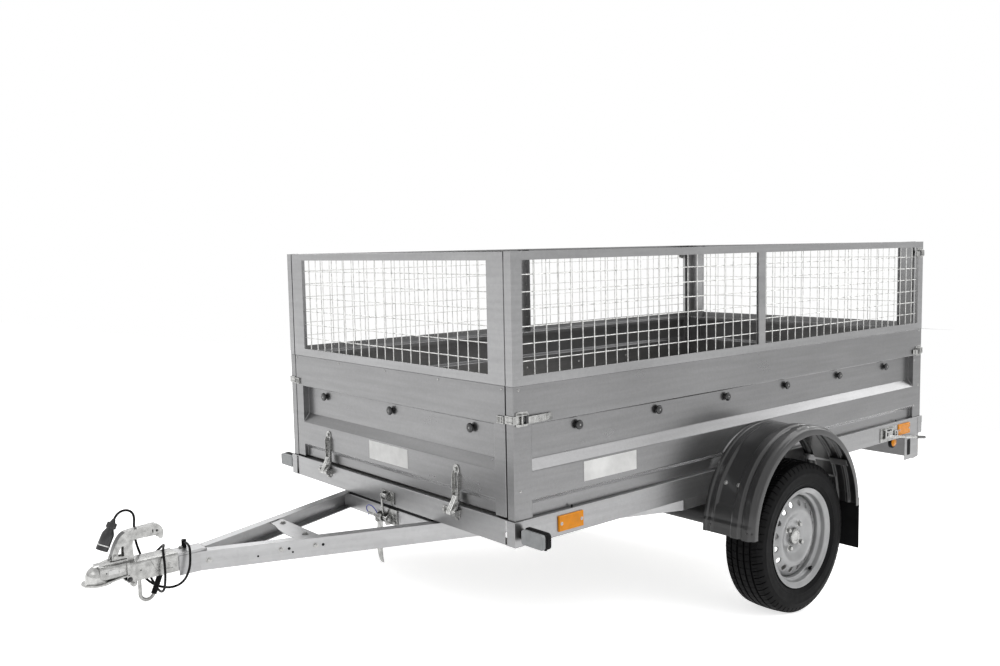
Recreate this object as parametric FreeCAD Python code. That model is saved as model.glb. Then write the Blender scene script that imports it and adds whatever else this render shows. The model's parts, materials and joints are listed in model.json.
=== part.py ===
import FreeCAD, Part
import math
import os

V = FreeCAD.Vector

# A single-axle tipping utility trailer with mesh sides, parked nose down on the loop below its coupling.
# Everything is built level first: X forward from the front wall, Y left from the middle, Z up from the
# underside of the sills. At the end the whole trailer is pitched onto its wheels and loop.

# Load box
BOX_LENGTH = 2420.0
BOX_WIDTH = 1312.0
SHEET = 3.0
RUNNING_GAP = 5.0
SEAT_GAP = 0.2

# Sills, floor and cross members
SILL_HEIGHT = 75.0
SILL_FLANGE = 45.0
SILL_PROUD = 5.0
CORNER_CAP = 34.0
CAP_PROUD = 1.5
FLOOR_THICKNESS = 12.0
CROSS_HEIGHT = 58.0
CROSS_WIDTH = 40.0
CROSS_COUNT = 4

# Walls: heights of the folds from the bottom edge up, and how deep each zone stands behind the outer plane
WALL_HEIGHT = 393.0
WALL_DEPTH = 32.0
GROOVE_HEIGHT = 39.0
GROOVE_DEPTH = 14.0
GROOVE_FOLD = 15.0
RIB_HEIGHT = 84.0
RIB_FOLD = 31.0
RIB_WALL = 18.0
BAND_HEIGHT = 116.0
BAND_FOLD = 6.0
RECESS_DEPTH = 24.0
HEM_HEIGHT = 16.0
SIDE_STRIP = 70.0
GATE_STRIP = 50.0

# Mesh panels
MESH_HEIGHT = 386.0
MESH_DEPTH = 30.0
SIDE_POST = 41.0
GATE_POST = 75.0
MID_UPRIGHT = 40.0
TOP_RAIL = 25.0
BOTTOM_RAIL = 28.0
WIRE = 3.0
WIRE_PITCH = 50.0

# Cover knobs
KNOB_RADIUS = 11.0
KNOB_STEM_RADIUS = 5.0
KNOB_STEM = 8.0
KNOB_HEAD = 9.0
KNOB_HEIGHT = 246.0
SIDE_KNOBS = 6
SIDE_KNOB_MARGIN = 280.0
GATE_KNOBS = 3
GATE_KNOB_MARGIN = 181.0

# Gate hinges: straps on the gates turn on pins in brackets on the end sills
HINGE_OUT = 20.0
HINGE_DROP = 23.0
HINGE_INSET = 271.0
STRAP_WIDTH = 30.0
STRAP_RISE = 150.0
STRAP_SHEET = 4.0
KNUCKLE_RADIUS = 9.0
PIN_RADIUS = 5.0
PIN_CLEARANCE = 0.2
EAR_SHEET = 4.0
EAR_GAP = 1.0

# Corner latches on the side walls and their keepers on the gates
LATCH_LENGTH = 95.0
LATCH_HEIGHT = 26.0
LATCH_PROUD = 12.0
LATCH_SETBACK = 6.0
LATCH_RISE = 284.0
KEEPER_LENGTH = 32.0
KEEPER_PROUD = 6.0
MESH_LATCH_LENGTH = 48.0
MESH_LATCH_DROP = 62.0

# Wheels, track and axle
TYRE_RADIUS = 274.0
TYRE_WIDTH = 157.0
BEAD_RADIUS = 166.0
TYRE_FLANK_SHARES = [(0.02, 0.84), (0.32, 1.0), (0.785, 0.962), (1.0, 0.64)]
RIM_RADIUS = 181.0
RIM_WIDTH = 142.0
RIM_SHEET = 5.0
WHEEL_OFFSET = 30.0
HUB_RADIUS = 56.0
HUB_LENGTH = 72.0
CAP_RADIUS = 30.0
VENT_RADIUS = 10.0
VENT_CIRCLE = 122.0
VENT_COUNT = 16
WHEEL_GAP = 11.5
AXLE_X = -1088.0
AXLE_Z = -145.0
AXLE_RADIUS = 38.0
AXLE_REACH = 18.0
ARM_LENGTH = 143.4
ARM_ANGLE = 20.8
ARM_SHEET = 22.0
ARM_HUB_RADIUS = 28.0
STUB_RADIUS = 20.0
STUB_CLEARANCE = 0.3
STUB_END_GAP = 2.0

# Drawbar
BEAM_HEIGHT = 57.0
BEAM_WIDTH = 34.0
BEAM_DROP = 5.0
APEX_X = 768.0
APEX_LEAD = 33.0
BEAM_SLOPE = 0.376
BEAM_CLEARANCE = 16.0
BEAM_TAIL = 45.0
CHEEK_REACH = 57.0
TONGUE_WIDTH = 60.0
TONGUE_HEIGHT = 50.0
TONGUE_WALL = 4.0
TONGUE_RISE = 8.0
TONGUE_LAP = 75.0
TONGUE_REACH = 135.0
GUSSET_X = 336.0
GUSSET_LENGTH = 68.0
CROSSBAR_WIDTH = 42.0
PAD_THICKNESS = 4.6
PIVOT_BACK = 58.0
PIVOT_DROP = 55.0
PIVOT_RADIUS = 10.0
PIVOT_EAR = 6.0
PIVOT_EAR_RADIUS = 24.0
PIVOT_HEAD = 4.0
PIVOT_HEAD_SHARE = 1.5
AXLE_MOUNT_LENGTH = 104.0

# Coupling: a pressed housing over the tongue, a crowned neck, the ball cup, and the handle on top
BALL_RADIUS = 25.5
SOCKET_DEPTH = 18.0
NOSE_REACH = 127.0
DOME_RADIUS = 32.0
LIP_RADIUS = 42.0
LIP_THICKNESS = 6.0
MOUTH_DROP = 42.0
HOUSING_LAP = 70.0
SHOULDER_REACH = 23.0
NECK_DEPTH = 32.0
NECK_STEP = 3.0
NECK_FLANGE = 5.0
CROWN_HALF_WIDTH = 20.0
CROWN_RISE = 7.0
CROWN_LENGTH = 46.0
BAND_WIDTH = 7.0
BAND_PROUD = 2.5
LUG_RADIUS = 8.0
LUG_LENGTH = 15.0
HANDLE_BACK = 91.0
HANDLE_LENGTH = 149.0
HANDLE_RISE = 91.0
HANDLE_WIDTH = 28.0
HANDLE_SHEET = 4.0
HANDLE_PIN_RADIUS = 5.0
HANDLE_OUTLINE_SHARES = [
    (1.0, 0.12), (0.946, 0.32), (0.886, 0.58), (0.8, 0.824), (0.73, 0.923), (0.154, 1.0), (0.047, 0.923),
    (0.0, 0.758), (0.027, 0.505), (0.087, 0.505), (0.134, 0.648), (0.57, 0.648), (0.597, 0.396), (0.584, 0.0),
    (0.711, 0.0), (0.711, 0.12),
]
HANDLE_HOLLOW_SHARES = [
    (0.972, -0.3), (0.919, 0.32), (0.86, 0.56), (0.779, 0.79), (0.718, 0.879), (0.16, 0.956), (0.067, 0.89),
    (0.03, 0.75), (0.054, 0.3), (0.134, 0.3), (0.5, 0.3), (0.5, -0.3),
]
HANDLE_WINDOW_SHARES = [(0.765, 0.2), (0.892, 0.2), (0.852, 0.39), (0.8, 0.51), (0.758, 0.51)]
HANDLE_PIN_SHARE = 0.93
LOOP_RADIUS = 5.0
LOOP_BEND = 20.0
LOOP_BACK = 40.0
LOOP_DROP = 52.0
LOOP_REAR_BACK = 83.0
SLEEVE_WALL = 3.0

# Tilt latch between the drawbar and the front sill
LATCH_PLATE_WIDTH = 54.0
LATCH_PLATE_HEIGHT = 46.0
LATCH_SHEET = 5.0
LATCH_PIN_RADIUS = 6.0
LEVER_WIDTH = 20.0
LEVER_DROP = 127.0
LEVER_SWING = 30.0

# Fenders and mudflaps
FENDER_RADIUS = 335.0
FENDER_SHEET = 5.0
FENDER_FORWARD = 24.0
FENDER_RAISE = 71.0
FENDER_IN = 5.5
FENDER_COVER = 36.5
FENDER_LIP = 24.0
RIDGE = 8.0
RIDGE_SHARES = [(0.46, 0.42, 0.3, 0.27), (0.23, 0.2, 0.1, 0.03)]
FLAP_THICKNESS = 4.0
FLAP_BOTTOM = -295.0
FLAP_INSET = 8.0
BRACKET_WIDTH = 30.0
BRACKET_ANGLE = 150.0

# Lamps, reflectors and the rear board
REFLECTOR_LENGTH = 103.0
REFLECTOR_HEIGHT = 48.0
REFLECTOR_THICKNESS = 7.0
REFLECTOR_FRONT_SETBACK = 166.0
REFLECTOR_REAR_SETBACK = 110.0
POSITION_WIDTH = 98.0
POSITION_HEIGHT = 48.0
POSITION_DEPTH = 34.0
POSITION_LENS = 8.0
POSITION_REACH = 14.0
BOARD_DROP = 121.0
BOARD_INSET = 21.0
BOARD_FLANGE = 28.0
REAR_LAMP_LENGTH = 200.0
REAR_LAMP_HEIGHT = 92.0
REAR_LAMP_DEPTH = 46.0
PLATE_LENGTH = 520.0
PLATE_HEIGHT = 112.0
PLATE_THICKNESS = 2.0
CATCH_SETBACK = 240.0
CATCH_LENGTH = 120.0
CATCH_HEIGHT = 52.0
CATCH_PROUD = 14.0
CATCH_BLOCK_SHARES = (0.2, 0.7)
CATCH_LEVER = 210.0
CATCH_BAR = 9.0

# Cable: a seven-millimetre lead from the drawbar to its plug
CABLE_RADIUS = 3.5
RUN_SHARE = 0.45
CABLE_ROUTE = [
    (710, -16, 20), (710, 22, 24), (719, 52, 0), (725, 58, -42), (741, 46, -80), (766, 13, -99),
    (798, -22, -93), (825, -47, -64), (814, -66, -34), (782, -67, -14), (762, -46, 14), (771, -9, 26),
    (790, 29, 24), (796, 56, -10), (797, 58, -55), (794, 36, -94), (791, -8, -110), (795, -48, -88),
    (807, -64, -46), (823, -62, -2), (838, -52, 42), (845, -38, 84), (847, -24, 121), (856, -15, 139),
    (873, -9, 149), (892, -4, 149), (907, -1, 139), (915, 0, 123),
]
PLUG_RADIUS = 17.5
PLUG_LENGTH = 49.0
PLUG_TAPER = 14.0
PLUG_THROAT_RADIUS = 11.0
PLUG_NECK_RADIUS = 14.0
PLUG_NECK = 17.0

# Worked out from the sizes above
HALF_WIDTH = BOX_WIDTH / 2
WALL_BASE = SILL_HEIGHT
WALL_TOP = WALL_BASE + WALL_HEIGHT
GATE_BASE = WALL_BASE + RUNNING_GAP
GATE_HEIGHT = WALL_HEIGHT - RUNNING_GAP
GATE_LENGTH = BOX_WIDTH - 2 * WALL_DEPTH - 2 * RUNNING_GAP
GATE_MESH_LENGTH = BOX_WIDTH - 2 * MESH_DEPTH - 2 * RUNNING_GAP
SIDE_KNOB_PITCH = (BOX_LENGTH - 2 * SIDE_KNOB_MARGIN) / (SIDE_KNOBS - 1)
GATE_KNOB_PITCH = (GATE_LENGTH - 2 * GATE_KNOB_MARGIN) / (GATE_KNOBS - 1)
HINGE_SPREAD = HALF_WIDTH - HINGE_INSET
HINGE_Z = SILL_HEIGHT - HINGE_DROP
BOARD_WIDTH = BOX_WIDTH - 2 * BOARD_INSET
WHEEL_X = AXLE_X - ARM_LENGTH * math.cos(math.radians(ARM_ANGLE))
WHEEL_Z = AXLE_Z - ARM_LENGTH * math.sin(math.radians(ARM_ANGLE))
WHEEL_Y = HALF_WIDTH + SILL_PROUD + WHEEL_GAP + TYRE_WIDTH / 2
DISC_Y = WHEEL_Y + WHEEL_OFFSET
FENDER_X = WHEEL_X + FENDER_FORWARD
FENDER_Z = WHEEL_Z + FENDER_RAISE
FENDER_INNER = HALF_WIDTH + FENDER_IN
FENDER_OUTER = WHEEL_Y + TYRE_WIDTH / 2 + FENDER_COVER
PIVOT_X = WHEEL_X - PIVOT_BACK
BEAM_HALF_REAR = HALF_WIDTH + SILL_PROUD - SILL_FLANGE - BEAM_CLEARANCE
BEAM_FRONT_X = APEX_X - APEX_LEAD
BEAM_MEET_X = APEX_X - TONGUE_WIDTH / 2 / BEAM_SLOPE
BEAM_REAR_X = PIVOT_X - BEAM_TAIL
BEAM_LEAN = math.hypot(1, BEAM_SLOPE)
AXLE_HALF_LENGTH = BEAM_HALF_REAR + AXLE_REACH
TONGUE_TOP = TONGUE_RISE - BEAM_DROP
TONGUE_BOTTOM = TONGUE_TOP - TONGUE_HEIGHT
TONGUE_REAR_X = BEAM_FRONT_X - TONGUE_LAP
TONGUE_FRONT_X = BEAM_FRONT_X + TONGUE_REACH
HOUSING_TOP = TONGUE_TOP + TONGUE_WALL
HOUSING_HALF_WIDTH = TONGUE_WIDTH / 2 + TONGUE_WALL + SEAT_GAP
SHOULDER_X = TONGUE_FRONT_X + SHOULDER_REACH
COUPLING_NOSE_X = TONGUE_FRONT_X + NOSE_REACH
CUP_X = COUPLING_NOSE_X - DOME_RADIUS
MOUTH_Z = TONGUE_TOP - MOUTH_DROP
LOOP_X = TONGUE_FRONT_X - LOOP_BACK
LOOP_REAR_X = TONGUE_FRONT_X - LOOP_REAR_BACK
LOOP_Z = TONGUE_BOTTOM - LOOP_DROP
OVERRUN = 50.0


def box(x0, x1, y0, y1, z0, z1):
    """A box between two corners."""
    return Part.makeBox(x1 - x0, y1 - y0, z1 - z0, V(x0, y0, z0))


def mirrored(shape):
    """The same shape on the other side of the middle plane."""
    return shape.mirror(V(0, 0, 0), V(0, 1, 0))


def fused(shapes):
    """Several touching solids as one, with no seams left."""
    return shapes[0].multiFuse(shapes[1:]).removeSplitter()


def prism(points, direction):
    """A closed outline of points, pushed along a direction."""
    outline = Part.makePolygon([V(*p) for p in points] + [V(*points[0])])
    return Part.Face(outline).extrude(V(*direction))


def rod(start, end, radius):
    """A round bar between two points."""
    along = V(*end) - V(*start)
    return Part.makeCylinder(radius, along.Length, V(*start), along)


def revolved(profile, centre):
    """A profile of (radius, y) points turned about the Y axis through a centre."""
    x, y, z = centre
    outline = [V(x + radius, y + out, z) for radius, out in profile]
    face = Part.Face(Part.makePolygon(outline + [outline[0]]))
    return face.revolve(V(x, y, z), V(0, 1, 0), 360)


def bend_path(points):
    """Straight runs joined by tangent arcs as large as the runs allow, with the arcs' radii."""
    knots = [V(*p) for p in points]
    runs = [(b - a).Length for a, b in zip(knots, knots[1:])]
    edges, radii, start = [], [], knots[0]
    for i in range(1, len(knots) - 1):
        back = (knots[i - 1] - knots[i]).normalize()
        ahead = (knots[i + 1] - knots[i]).normalize()
        turn = math.pi - back.getAngle(ahead)
        cut = RUN_SHARE * min(runs[i - 1], runs[i])
        radius = cut / math.tan(turn / 2)
        inner = (back + ahead).normalize()
        sagitta = cut * math.tan(turn / 4)
        first, last = knots[i] + back * cut, knots[i] + ahead * cut
        middle = knots[i] + inner * (radius / math.cos(turn / 2) - radius)
        edges.append(Part.LineSegment(start, first).toShape())
        edges.append(Part.Arc(first, middle, last).toShape())
        radii.append(radius)
        start = last
    edges.append(Part.LineSegment(start, knots[-1]).toShape())
    return Part.Wire(edges), radii


def tube(points, radius):
    """A round bar or cable along a route of points."""
    path, radii = bend_path(points)
    tangent = V(*points[1]) - V(*points[0])
    ring = Part.Wire(Part.makeCircle(radius, V(*points[0]), tangent))
    solid = path.makePipeShell([ring], True, False)
    print("tube: smallest bend", round(min(radii), 1), "length", round(path.Length, 1),
          "volume share", round(solid.Volume / (math.pi * radius ** 2 * path.Length), 4))
    return solid


# Load box: sills, floor and cross members

def channel(length, height, flange):
    """A channel along X from zero, its web on the plane y = 0 and its flanges towards -Y."""
    outer = box(0, length, -flange, 0, 0, height)
    return outer.cut(box(-OVERRUN, length + OVERRUN, -flange - OVERRUN, -SHEET, SHEET, height - SHEET))


def side_sill():
    """The left sill, with its corner caps."""
    sill = channel(BOX_LENGTH + 2 * SILL_PROUD, SILL_HEIGHT, SILL_FLANGE)
    sill.translate(V(-BOX_LENGTH - SILL_PROUD, HALF_WIDTH + SILL_PROUD, 0))
    caps = []
    for x in (SILL_PROUD - CORNER_CAP, -BOX_LENGTH - SILL_PROUD):
        caps.append(box(x, x + CORNER_CAP, HALF_WIDTH + SILL_PROUD, HALF_WIDTH + SILL_PROUD + CAP_PROUD,
                        0, SILL_HEIGHT))
    for x in (SILL_PROUD, -BOX_LENGTH - SILL_PROUD - CAP_PROUD):
        caps.append(box(x, x + CAP_PROUD, HALF_WIDTH + SILL_PROUD - CORNER_CAP,
                        HALF_WIDTH + SILL_PROUD + CAP_PROUD, 0, SILL_HEIGHT))
    return fused([sill] + caps)


def end_sills():
    """The front and the rear sill, between the side sills."""
    length = BOX_WIDTH + 2 * SILL_PROUD - 2 * SILL_FLANGE
    front = channel(length, SILL_HEIGHT, SILL_FLANGE)
    front.translate(V(-length / 2, 0, 0))
    rear = front.copy()
    front.rotate(V(0, 0, 0), V(0, 0, 1), -90)
    rear.rotate(V(0, 0, 0), V(0, 0, 1), 90)
    front.translate(V(SILL_PROUD, 0, 0))
    rear.translate(V(-BOX_LENGTH - SILL_PROUD, 0, 0))
    return Part.makeCompound([front, rear])


def floor_panel():
    """The plywood floor, on the sills' top flanges and the cross members."""
    half = HALF_WIDTH - WALL_DEPTH - SEAT_GAP
    inset = WALL_DEPTH + RUNNING_GAP
    return box(-BOX_LENGTH + inset, -inset, -half, half, SILL_HEIGHT, SILL_HEIGHT + FLOOR_THICKNESS)


def cross_positions():
    """Where the cross members lie: spread evenly between the end sills."""
    pitch = BOX_LENGTH / (CROSS_COUNT + 1)
    return [-pitch * (i + 1) for i in range(CROSS_COUNT)]


def cross_members():
    """Channels under the floor, from sill to sill."""
    half = HALF_WIDTH + SILL_PROUD - SILL_FLANGE
    members = []
    for x in cross_positions():
        member = channel(2 * half, CROSS_HEIGHT, CROSS_WIDTH)
        member.rotate(V(0, 0, 0), V(0, 0, 1), -90)
        member.translate(V(x + CROSS_WIDTH / 2, half, SILL_HEIGHT - CROSS_HEIGHT))
        members.append(member)
    return Part.makeCompound(members)


# Walls and mesh panels, drawn along X from zero with their outer plane on y = 0

def wall_profile(base, height):
    """The folded wall in section, as (y, z) points."""
    groove = base + GROOVE_HEIGHT - (WALL_HEIGHT - height)
    rib_low = groove + GROOVE_FOLD
    rib_high = rib_low + RIB_HEIGHT
    recess = rib_high + RIB_FOLD
    top = base + height
    band = top - BAND_HEIGHT
    return [(0, top), (0, band), (-RECESS_DEPTH, band - BAND_FOLD), (-RECESS_DEPTH, recess), (0, rib_high),
            (0, rib_low), (-GROOVE_DEPTH, groove), (-GROOVE_DEPTH, base), (-WALL_DEPTH, base),
            (-WALL_DEPTH, groove), (-RIB_WALL, rib_low), (-RIB_WALL, rib_high), (-WALL_DEPTH, recess),
            (-WALL_DEPTH, band), (-SHEET, band + BAND_FOLD), (-SHEET, top - HEM_HEIGHT),
            (-WALL_DEPTH, top - HEM_HEIGHT), (-WALL_DEPTH, top)]


def wall(length, base, height, strip):
    """A folded wall with a plain full-depth strip at each end."""
    panel = prism([(0, y, z) for y, z in wall_profile(base, height)], (length, 0, 0))
    ends = [box(x, x + strip, -WALL_DEPTH, 0, base, base + height) for x in (0, length - strip)]
    return fused([panel] + ends)


def rectangle(x0, x1, z0, z1, y):
    """A closed rectangle on a plane of constant y."""
    return Part.makePolygon([V(x0, y, z0), V(x1, y, z0), V(x1, y, z1), V(x0, y, z1), V(x0, y, z0)])


def pierced(outline, holes, y, thickness):
    """A plate on the plane y with rectangular holes, going inwards."""
    wires = [rectangle(*outline, y)] + [rectangle(*hole, y) for hole in holes]
    return Part.makeFace(wires, "Part::FaceMakerCheese").extrude(V(0, -thickness, 0))


def cells(window):
    """The openings between the wires of one window."""
    x0, x1, z0, z1 = window
    lines = []
    for low, high in ((x0, x1), (z0, z1)):
        count = int((high - low) / WIRE_PITCH)
        first = (low + high) / 2 - (count - 1) * WIRE_PITCH / 2
        centres = [first + i * WIRE_PITCH for i in range(count)]
        starts = [low] + [c + WIRE / 2 for c in centres]
        stops = [c - WIRE / 2 for c in centres] + [high]
        lines.append([(a, b) for a, b in zip(starts, stops) if b - a > WIRE])
    return [(xa, xb, za, zb) for xa, xb in lines[0] for za, zb in lines[1]]


def mesh_panel(length, post, uprights):
    """An angle-section frame with a welded wire grid behind its face."""
    stops = [post]
    for u in uprights:
        stops += [u - MID_UPRIGHT / 2, u + MID_UPRIGHT / 2]
    stops.append(length - post)
    low, high = BOTTOM_RAIL, MESH_HEIGHT - TOP_RAIL
    windows = [(x0, x1, low, high) for x0, x1 in zip(stops[::2], stops[1::2])]
    outline = (0, length, 0, MESH_HEIGHT)
    face = pierced(outline, windows, 0, SHEET)
    grid = pierced(outline, [c for w in windows for c in cells(w)], -SHEET, WIRE)
    rim = box(0, length, -MESH_DEPTH, 0, 0, MESH_HEIGHT)
    rim = rim.cut(box(SHEET, length - SHEET, -MESH_DEPTH - OVERRUN, OVERRUN, SHEET, MESH_HEIGHT - SHEET))
    panel = face.multiFuse([grid, rim])
    panel.translate(V(0, 0, WALL_TOP))
    return panel


def on_left(shape):
    """Bring a wall or panel of the box's length to the left side."""
    moved = shape.copy()
    moved.translate(V(-BOX_LENGTH, HALF_WIDTH, 0))
    return moved


def on_front(shape, length):
    """Bring a wall or panel to the front, centred."""
    moved = shape.copy()
    moved.translate(V(-length / 2, 0, 0))
    moved.rotate(V(0, 0, 0), V(0, 0, 1), -90)
    return moved


def to_rear(shape):
    """The shape of the front end, turned round to the rear end."""
    moved = shape.copy()
    moved.rotate(V(-BOX_LENGTH / 2, 0, 0), V(0, 0, 1), 180)
    return moved


def side_wall():
    return on_left(wall(BOX_LENGTH, WALL_BASE, WALL_HEIGHT, SIDE_STRIP))


def side_mesh():
    return on_left(mesh_panel(BOX_LENGTH, SIDE_POST, [BOX_LENGTH / 2]))


def front_panel():
    return on_front(wall(GATE_LENGTH, GATE_BASE, GATE_HEIGHT, GATE_STRIP), GATE_LENGTH)


def front_mesh():
    return on_front(mesh_panel(GATE_MESH_LENGTH, GATE_POST, []), GATE_MESH_LENGTH)


# Knobs

def knob_row(count, pitch):
    """Round-headed knobs in a row about the middle, on the wall's recessed zone."""
    first = -(count - 1) * pitch / 2
    knobs = []
    for i in range(count):
        foot = V(first + i * pitch, -RECESS_DEPTH, WALL_BASE + KNOB_HEIGHT)
        stem = Part.makeCylinder(KNOB_STEM_RADIUS, KNOB_STEM, foot, V(0, 1, 0))
        head = Part.makeCylinder(KNOB_RADIUS, KNOB_HEAD, foot + V(0, KNOB_STEM, 0), V(0, 1, 0))
        knobs.append(stem.fuse(head))
    return knobs


def side_knobs():
    """The left side's knobs and the right side's, as separate solids."""
    left = []
    for knob in knob_row(SIDE_KNOBS, SIDE_KNOB_PITCH):
        knob.translate(V(-BOX_LENGTH / 2, HALF_WIDTH, 0))
        left.append(knob)
    return Part.makeCompound(left + [mirrored(knob) for knob in left])


def front_knobs():
    knobs = []
    for knob in knob_row(GATE_KNOBS, GATE_KNOB_PITCH):
        knob.rotate(V(0, 0, 0), V(0, 0, 1), -90)
        knobs.append(knob)
    return Part.makeCompound(knobs)


# Gate hinges

def strap(y):
    """One strap on the front gate, with its knuckle."""
    low, high = y - STRAP_WIDTH / 2, y + STRAP_WIDTH / 2
    top = HINGE_Z + STRAP_RISE
    plate = box(0, STRAP_SHEET, low, high, GATE_BASE, top)
    foot = prism([(0, low, GATE_BASE + STRAP_SHEET), (STRAP_SHEET, low, GATE_BASE + STRAP_SHEET),
                  (HINGE_OUT + KNUCKLE_RADIUS / 2, low, HINGE_Z + KNUCKLE_RADIUS / 2),
                  (HINGE_OUT - KNUCKLE_RADIUS / 2, low, HINGE_Z + KNUCKLE_RADIUS / 2)],
                 (0, STRAP_WIDTH, 0))
    knuckle = rod((HINGE_OUT, low, HINGE_Z), (HINGE_OUT, high, HINGE_Z), KNUCKLE_RADIUS)
    bore = rod((HINGE_OUT, low - OVERRUN, HINGE_Z), (HINGE_OUT, high + OVERRUN, HINGE_Z),
               PIN_RADIUS + PIN_CLEARANCE)
    return fused([plate, foot, knuckle]).cut(bore)


def hinge_bracket(y):
    """The sill's half of one hinge: a plate, two ears and the pin."""
    inner = STRAP_WIDTH / 2 + EAR_GAP
    outer = inner + EAR_SHEET
    low, high = HINGE_Z - KNUCKLE_RADIUS, HINGE_Z + KNUCKLE_RADIUS
    plate = box(SILL_PROUD, SILL_PROUD + EAR_SHEET, y - outer, y + outer, low, high)
    ears = []
    for start in (y - outer, y + inner):
        ear = box(SILL_PROUD, HINGE_OUT, start, start + EAR_SHEET, low, high)
        nose = rod((HINGE_OUT, start, HINGE_Z), (HINGE_OUT, start + EAR_SHEET, HINGE_Z), KNUCKLE_RADIUS)
        ears.append(ear.fuse(nose))
    room = rod((HINGE_OUT, y - inner, HINGE_Z), (HINGE_OUT, y + inner, HINGE_Z),
               KNUCKLE_RADIUS + EAR_GAP)
    pin = rod((HINGE_OUT, y - outer, HINGE_Z), (HINGE_OUT, y + outer, HINGE_Z), PIN_RADIUS)
    return fused([plate.cut(room)] + ears + [pin])


def front_straps():
    return Part.makeCompound([strap(HINGE_SPREAD), strap(-HINGE_SPREAD)])


def hinge_brackets():
    front = [hinge_bracket(HINGE_SPREAD), hinge_bracket(-HINGE_SPREAD)]
    return Part.makeCompound(front + [to_rear(bracket) for bracket in front])


# Latches

def latch_body(x, z, length):
    """A toggle latch on the left outer plane, with a raised lever, its front end at x."""
    base = box(x - length, x, HALF_WIDTH, HALF_WIDTH + LATCH_PROUD / 3, z, z + LATCH_HEIGHT)
    lever = box(x - length, x - length / 4, HALF_WIDTH + LATCH_PROUD / 3, HALF_WIDTH + LATCH_PROUD,
                z + LATCH_HEIGHT / 6, z + LATCH_HEIGHT * 5 / 6)
    return base.fuse(lever).removeSplitter()


def corner_latches():
    """Wall latches near all four corners and mesh latches at the rear top, on the side walls."""
    z = WALL_BASE + LATCH_RISE
    left = [latch_body(-LATCH_SETBACK, z, LATCH_LENGTH),
            latch_body(-BOX_LENGTH + LATCH_SETBACK + LATCH_LENGTH, z, LATCH_LENGTH),
            latch_body(-BOX_LENGTH + LATCH_SETBACK + MESH_LATCH_LENGTH,
                       WALL_TOP + MESH_HEIGHT - MESH_LATCH_DROP, MESH_LATCH_LENGTH)]
    return Part.makeCompound(left + [mirrored(latch) for latch in left])


def keeper(z):
    """The gate's half of a corner latch, at the gate's left end."""
    edge = GATE_LENGTH / 2
    return box(0, KEEPER_PROUD, edge - KEEPER_LENGTH, edge, z, z + LATCH_HEIGHT)


def front_keepers():
    low = keeper(WALL_BASE + LATCH_RISE)
    return Part.makeCompound([low, mirrored(low)])


def tail_keepers():
    low = keeper(WALL_BASE + LATCH_RISE)
    high = keeper(WALL_TOP + MESH_HEIGHT - MESH_LATCH_DROP)
    front = [low, mirrored(low), high, mirrored(high)]
    return Part.makeCompound([to_rear(k) for k in front])


# Drawbar

def beam_half(x):
    """Half the spread of the drawbar's outer faces at x."""
    return min(BEAM_SLOPE * (APEX_X - x), BEAM_HALF_REAR)


def beam_outline(inset, width):
    """The left beam in plan between two distances inside its outer face."""
    bend_x = APEX_X - BEAM_HALF_REAR / BEAM_SLOPE
    inner = inset + width
    shift = [side * (BEAM_LEAN - 1) / BEAM_SLOPE for side in (inset, inner)]
    return [(BEAM_FRONT_X, beam_half(BEAM_FRONT_X) - inset * BEAM_LEAN),
            (bend_x - shift[0], BEAM_HALF_REAR - inset), (BEAM_REAR_X, BEAM_HALF_REAR - inset),
            (BEAM_REAR_X, BEAM_HALF_REAR - inner), (bend_x - shift[1], BEAM_HALF_REAR - inner),
            (BEAM_FRONT_X, beam_half(BEAM_FRONT_X) - inner * BEAM_LEAN)]


def drawbar_beam():
    """The left beam: an inward channel from behind the axle to the tongue, with a cheek along the tongue."""
    top, bottom = -BEAM_DROP, -BEAM_DROP - BEAM_HEIGHT
    web = prism([(x, y, bottom) for x, y in beam_outline(0, SHEET)], (0, 0, BEAM_HEIGHT))
    flanges = [prism([(x, y, z) for x, y in beam_outline(0, BEAM_WIDTH)], (0, 0, SHEET))
               for z in (bottom, top - SHEET)]
    side = TONGUE_WIDTH / 2
    cheek = box(BEAM_MEET_X - 4 * SHEET, BEAM_MEET_X + CHEEK_REACH, side, side + SHEET, bottom, top)
    beam = fused([web, cheek] + flanges)
    middle = box(-OVERRUN, COUPLING_NOSE_X, -BOX_WIDTH, 0, bottom - OVERRUN, top + OVERRUN)
    room = box(TONGUE_REAR_X, COUPLING_NOSE_X, -TONGUE_WIDTH / 2, TONGUE_WIDTH / 2,
               bottom - OVERRUN, top + OVERRUN)
    return beam.cut(middle).cut(room)


def tongue():
    """The square tube that carries the coupling in front of the beams."""
    outer = box(TONGUE_REAR_X, TONGUE_FRONT_X, -TONGUE_WIDTH / 2, TONGUE_WIDTH / 2, TONGUE_BOTTOM, TONGUE_TOP)
    half = TONGUE_WIDTH / 2 - TONGUE_WALL
    return outer.cut(box(TONGUE_REAR_X - OVERRUN, TONGUE_FRONT_X + OVERRUN, -half, half,
                         TONGUE_BOTTOM + TONGUE_WALL, TONGUE_TOP - TONGUE_WALL))


def drawbar_gusset():
    """The plate that ties the two beams together halfway."""
    top = -BEAM_DROP - SHEET
    x0, x1 = GUSSET_X, GUSSET_X + GUSSET_LENGTH
    y0, y1 = beam_half(x0) - 2 * SHEET, beam_half(x1) - 2 * SHEET
    corners = [(x0, -y0), (x1, -y1), (x1, y1), (x0, y0)]
    return prism([(x, y, top - SHEET) for x, y in corners], (0, 0, SHEET))


def drawbar_crossbar():
    """The box member under the front sill, between the beams."""
    front = SILL_PROUD
    rear = front - CROSSBAR_WIDTH
    y0, y1 = beam_half(rear) - SHEET * BEAM_LEAN, beam_half(front) - SHEET * BEAM_LEAN
    corners = [(rear, -y0), (front, -y1), (front, y1), (rear, y0)]
    height = BEAM_HEIGHT - 2 * SHEET
    return prism([(x, y, -BEAM_DROP - SHEET - height) for x, y in corners], (0, 0, height))


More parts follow.
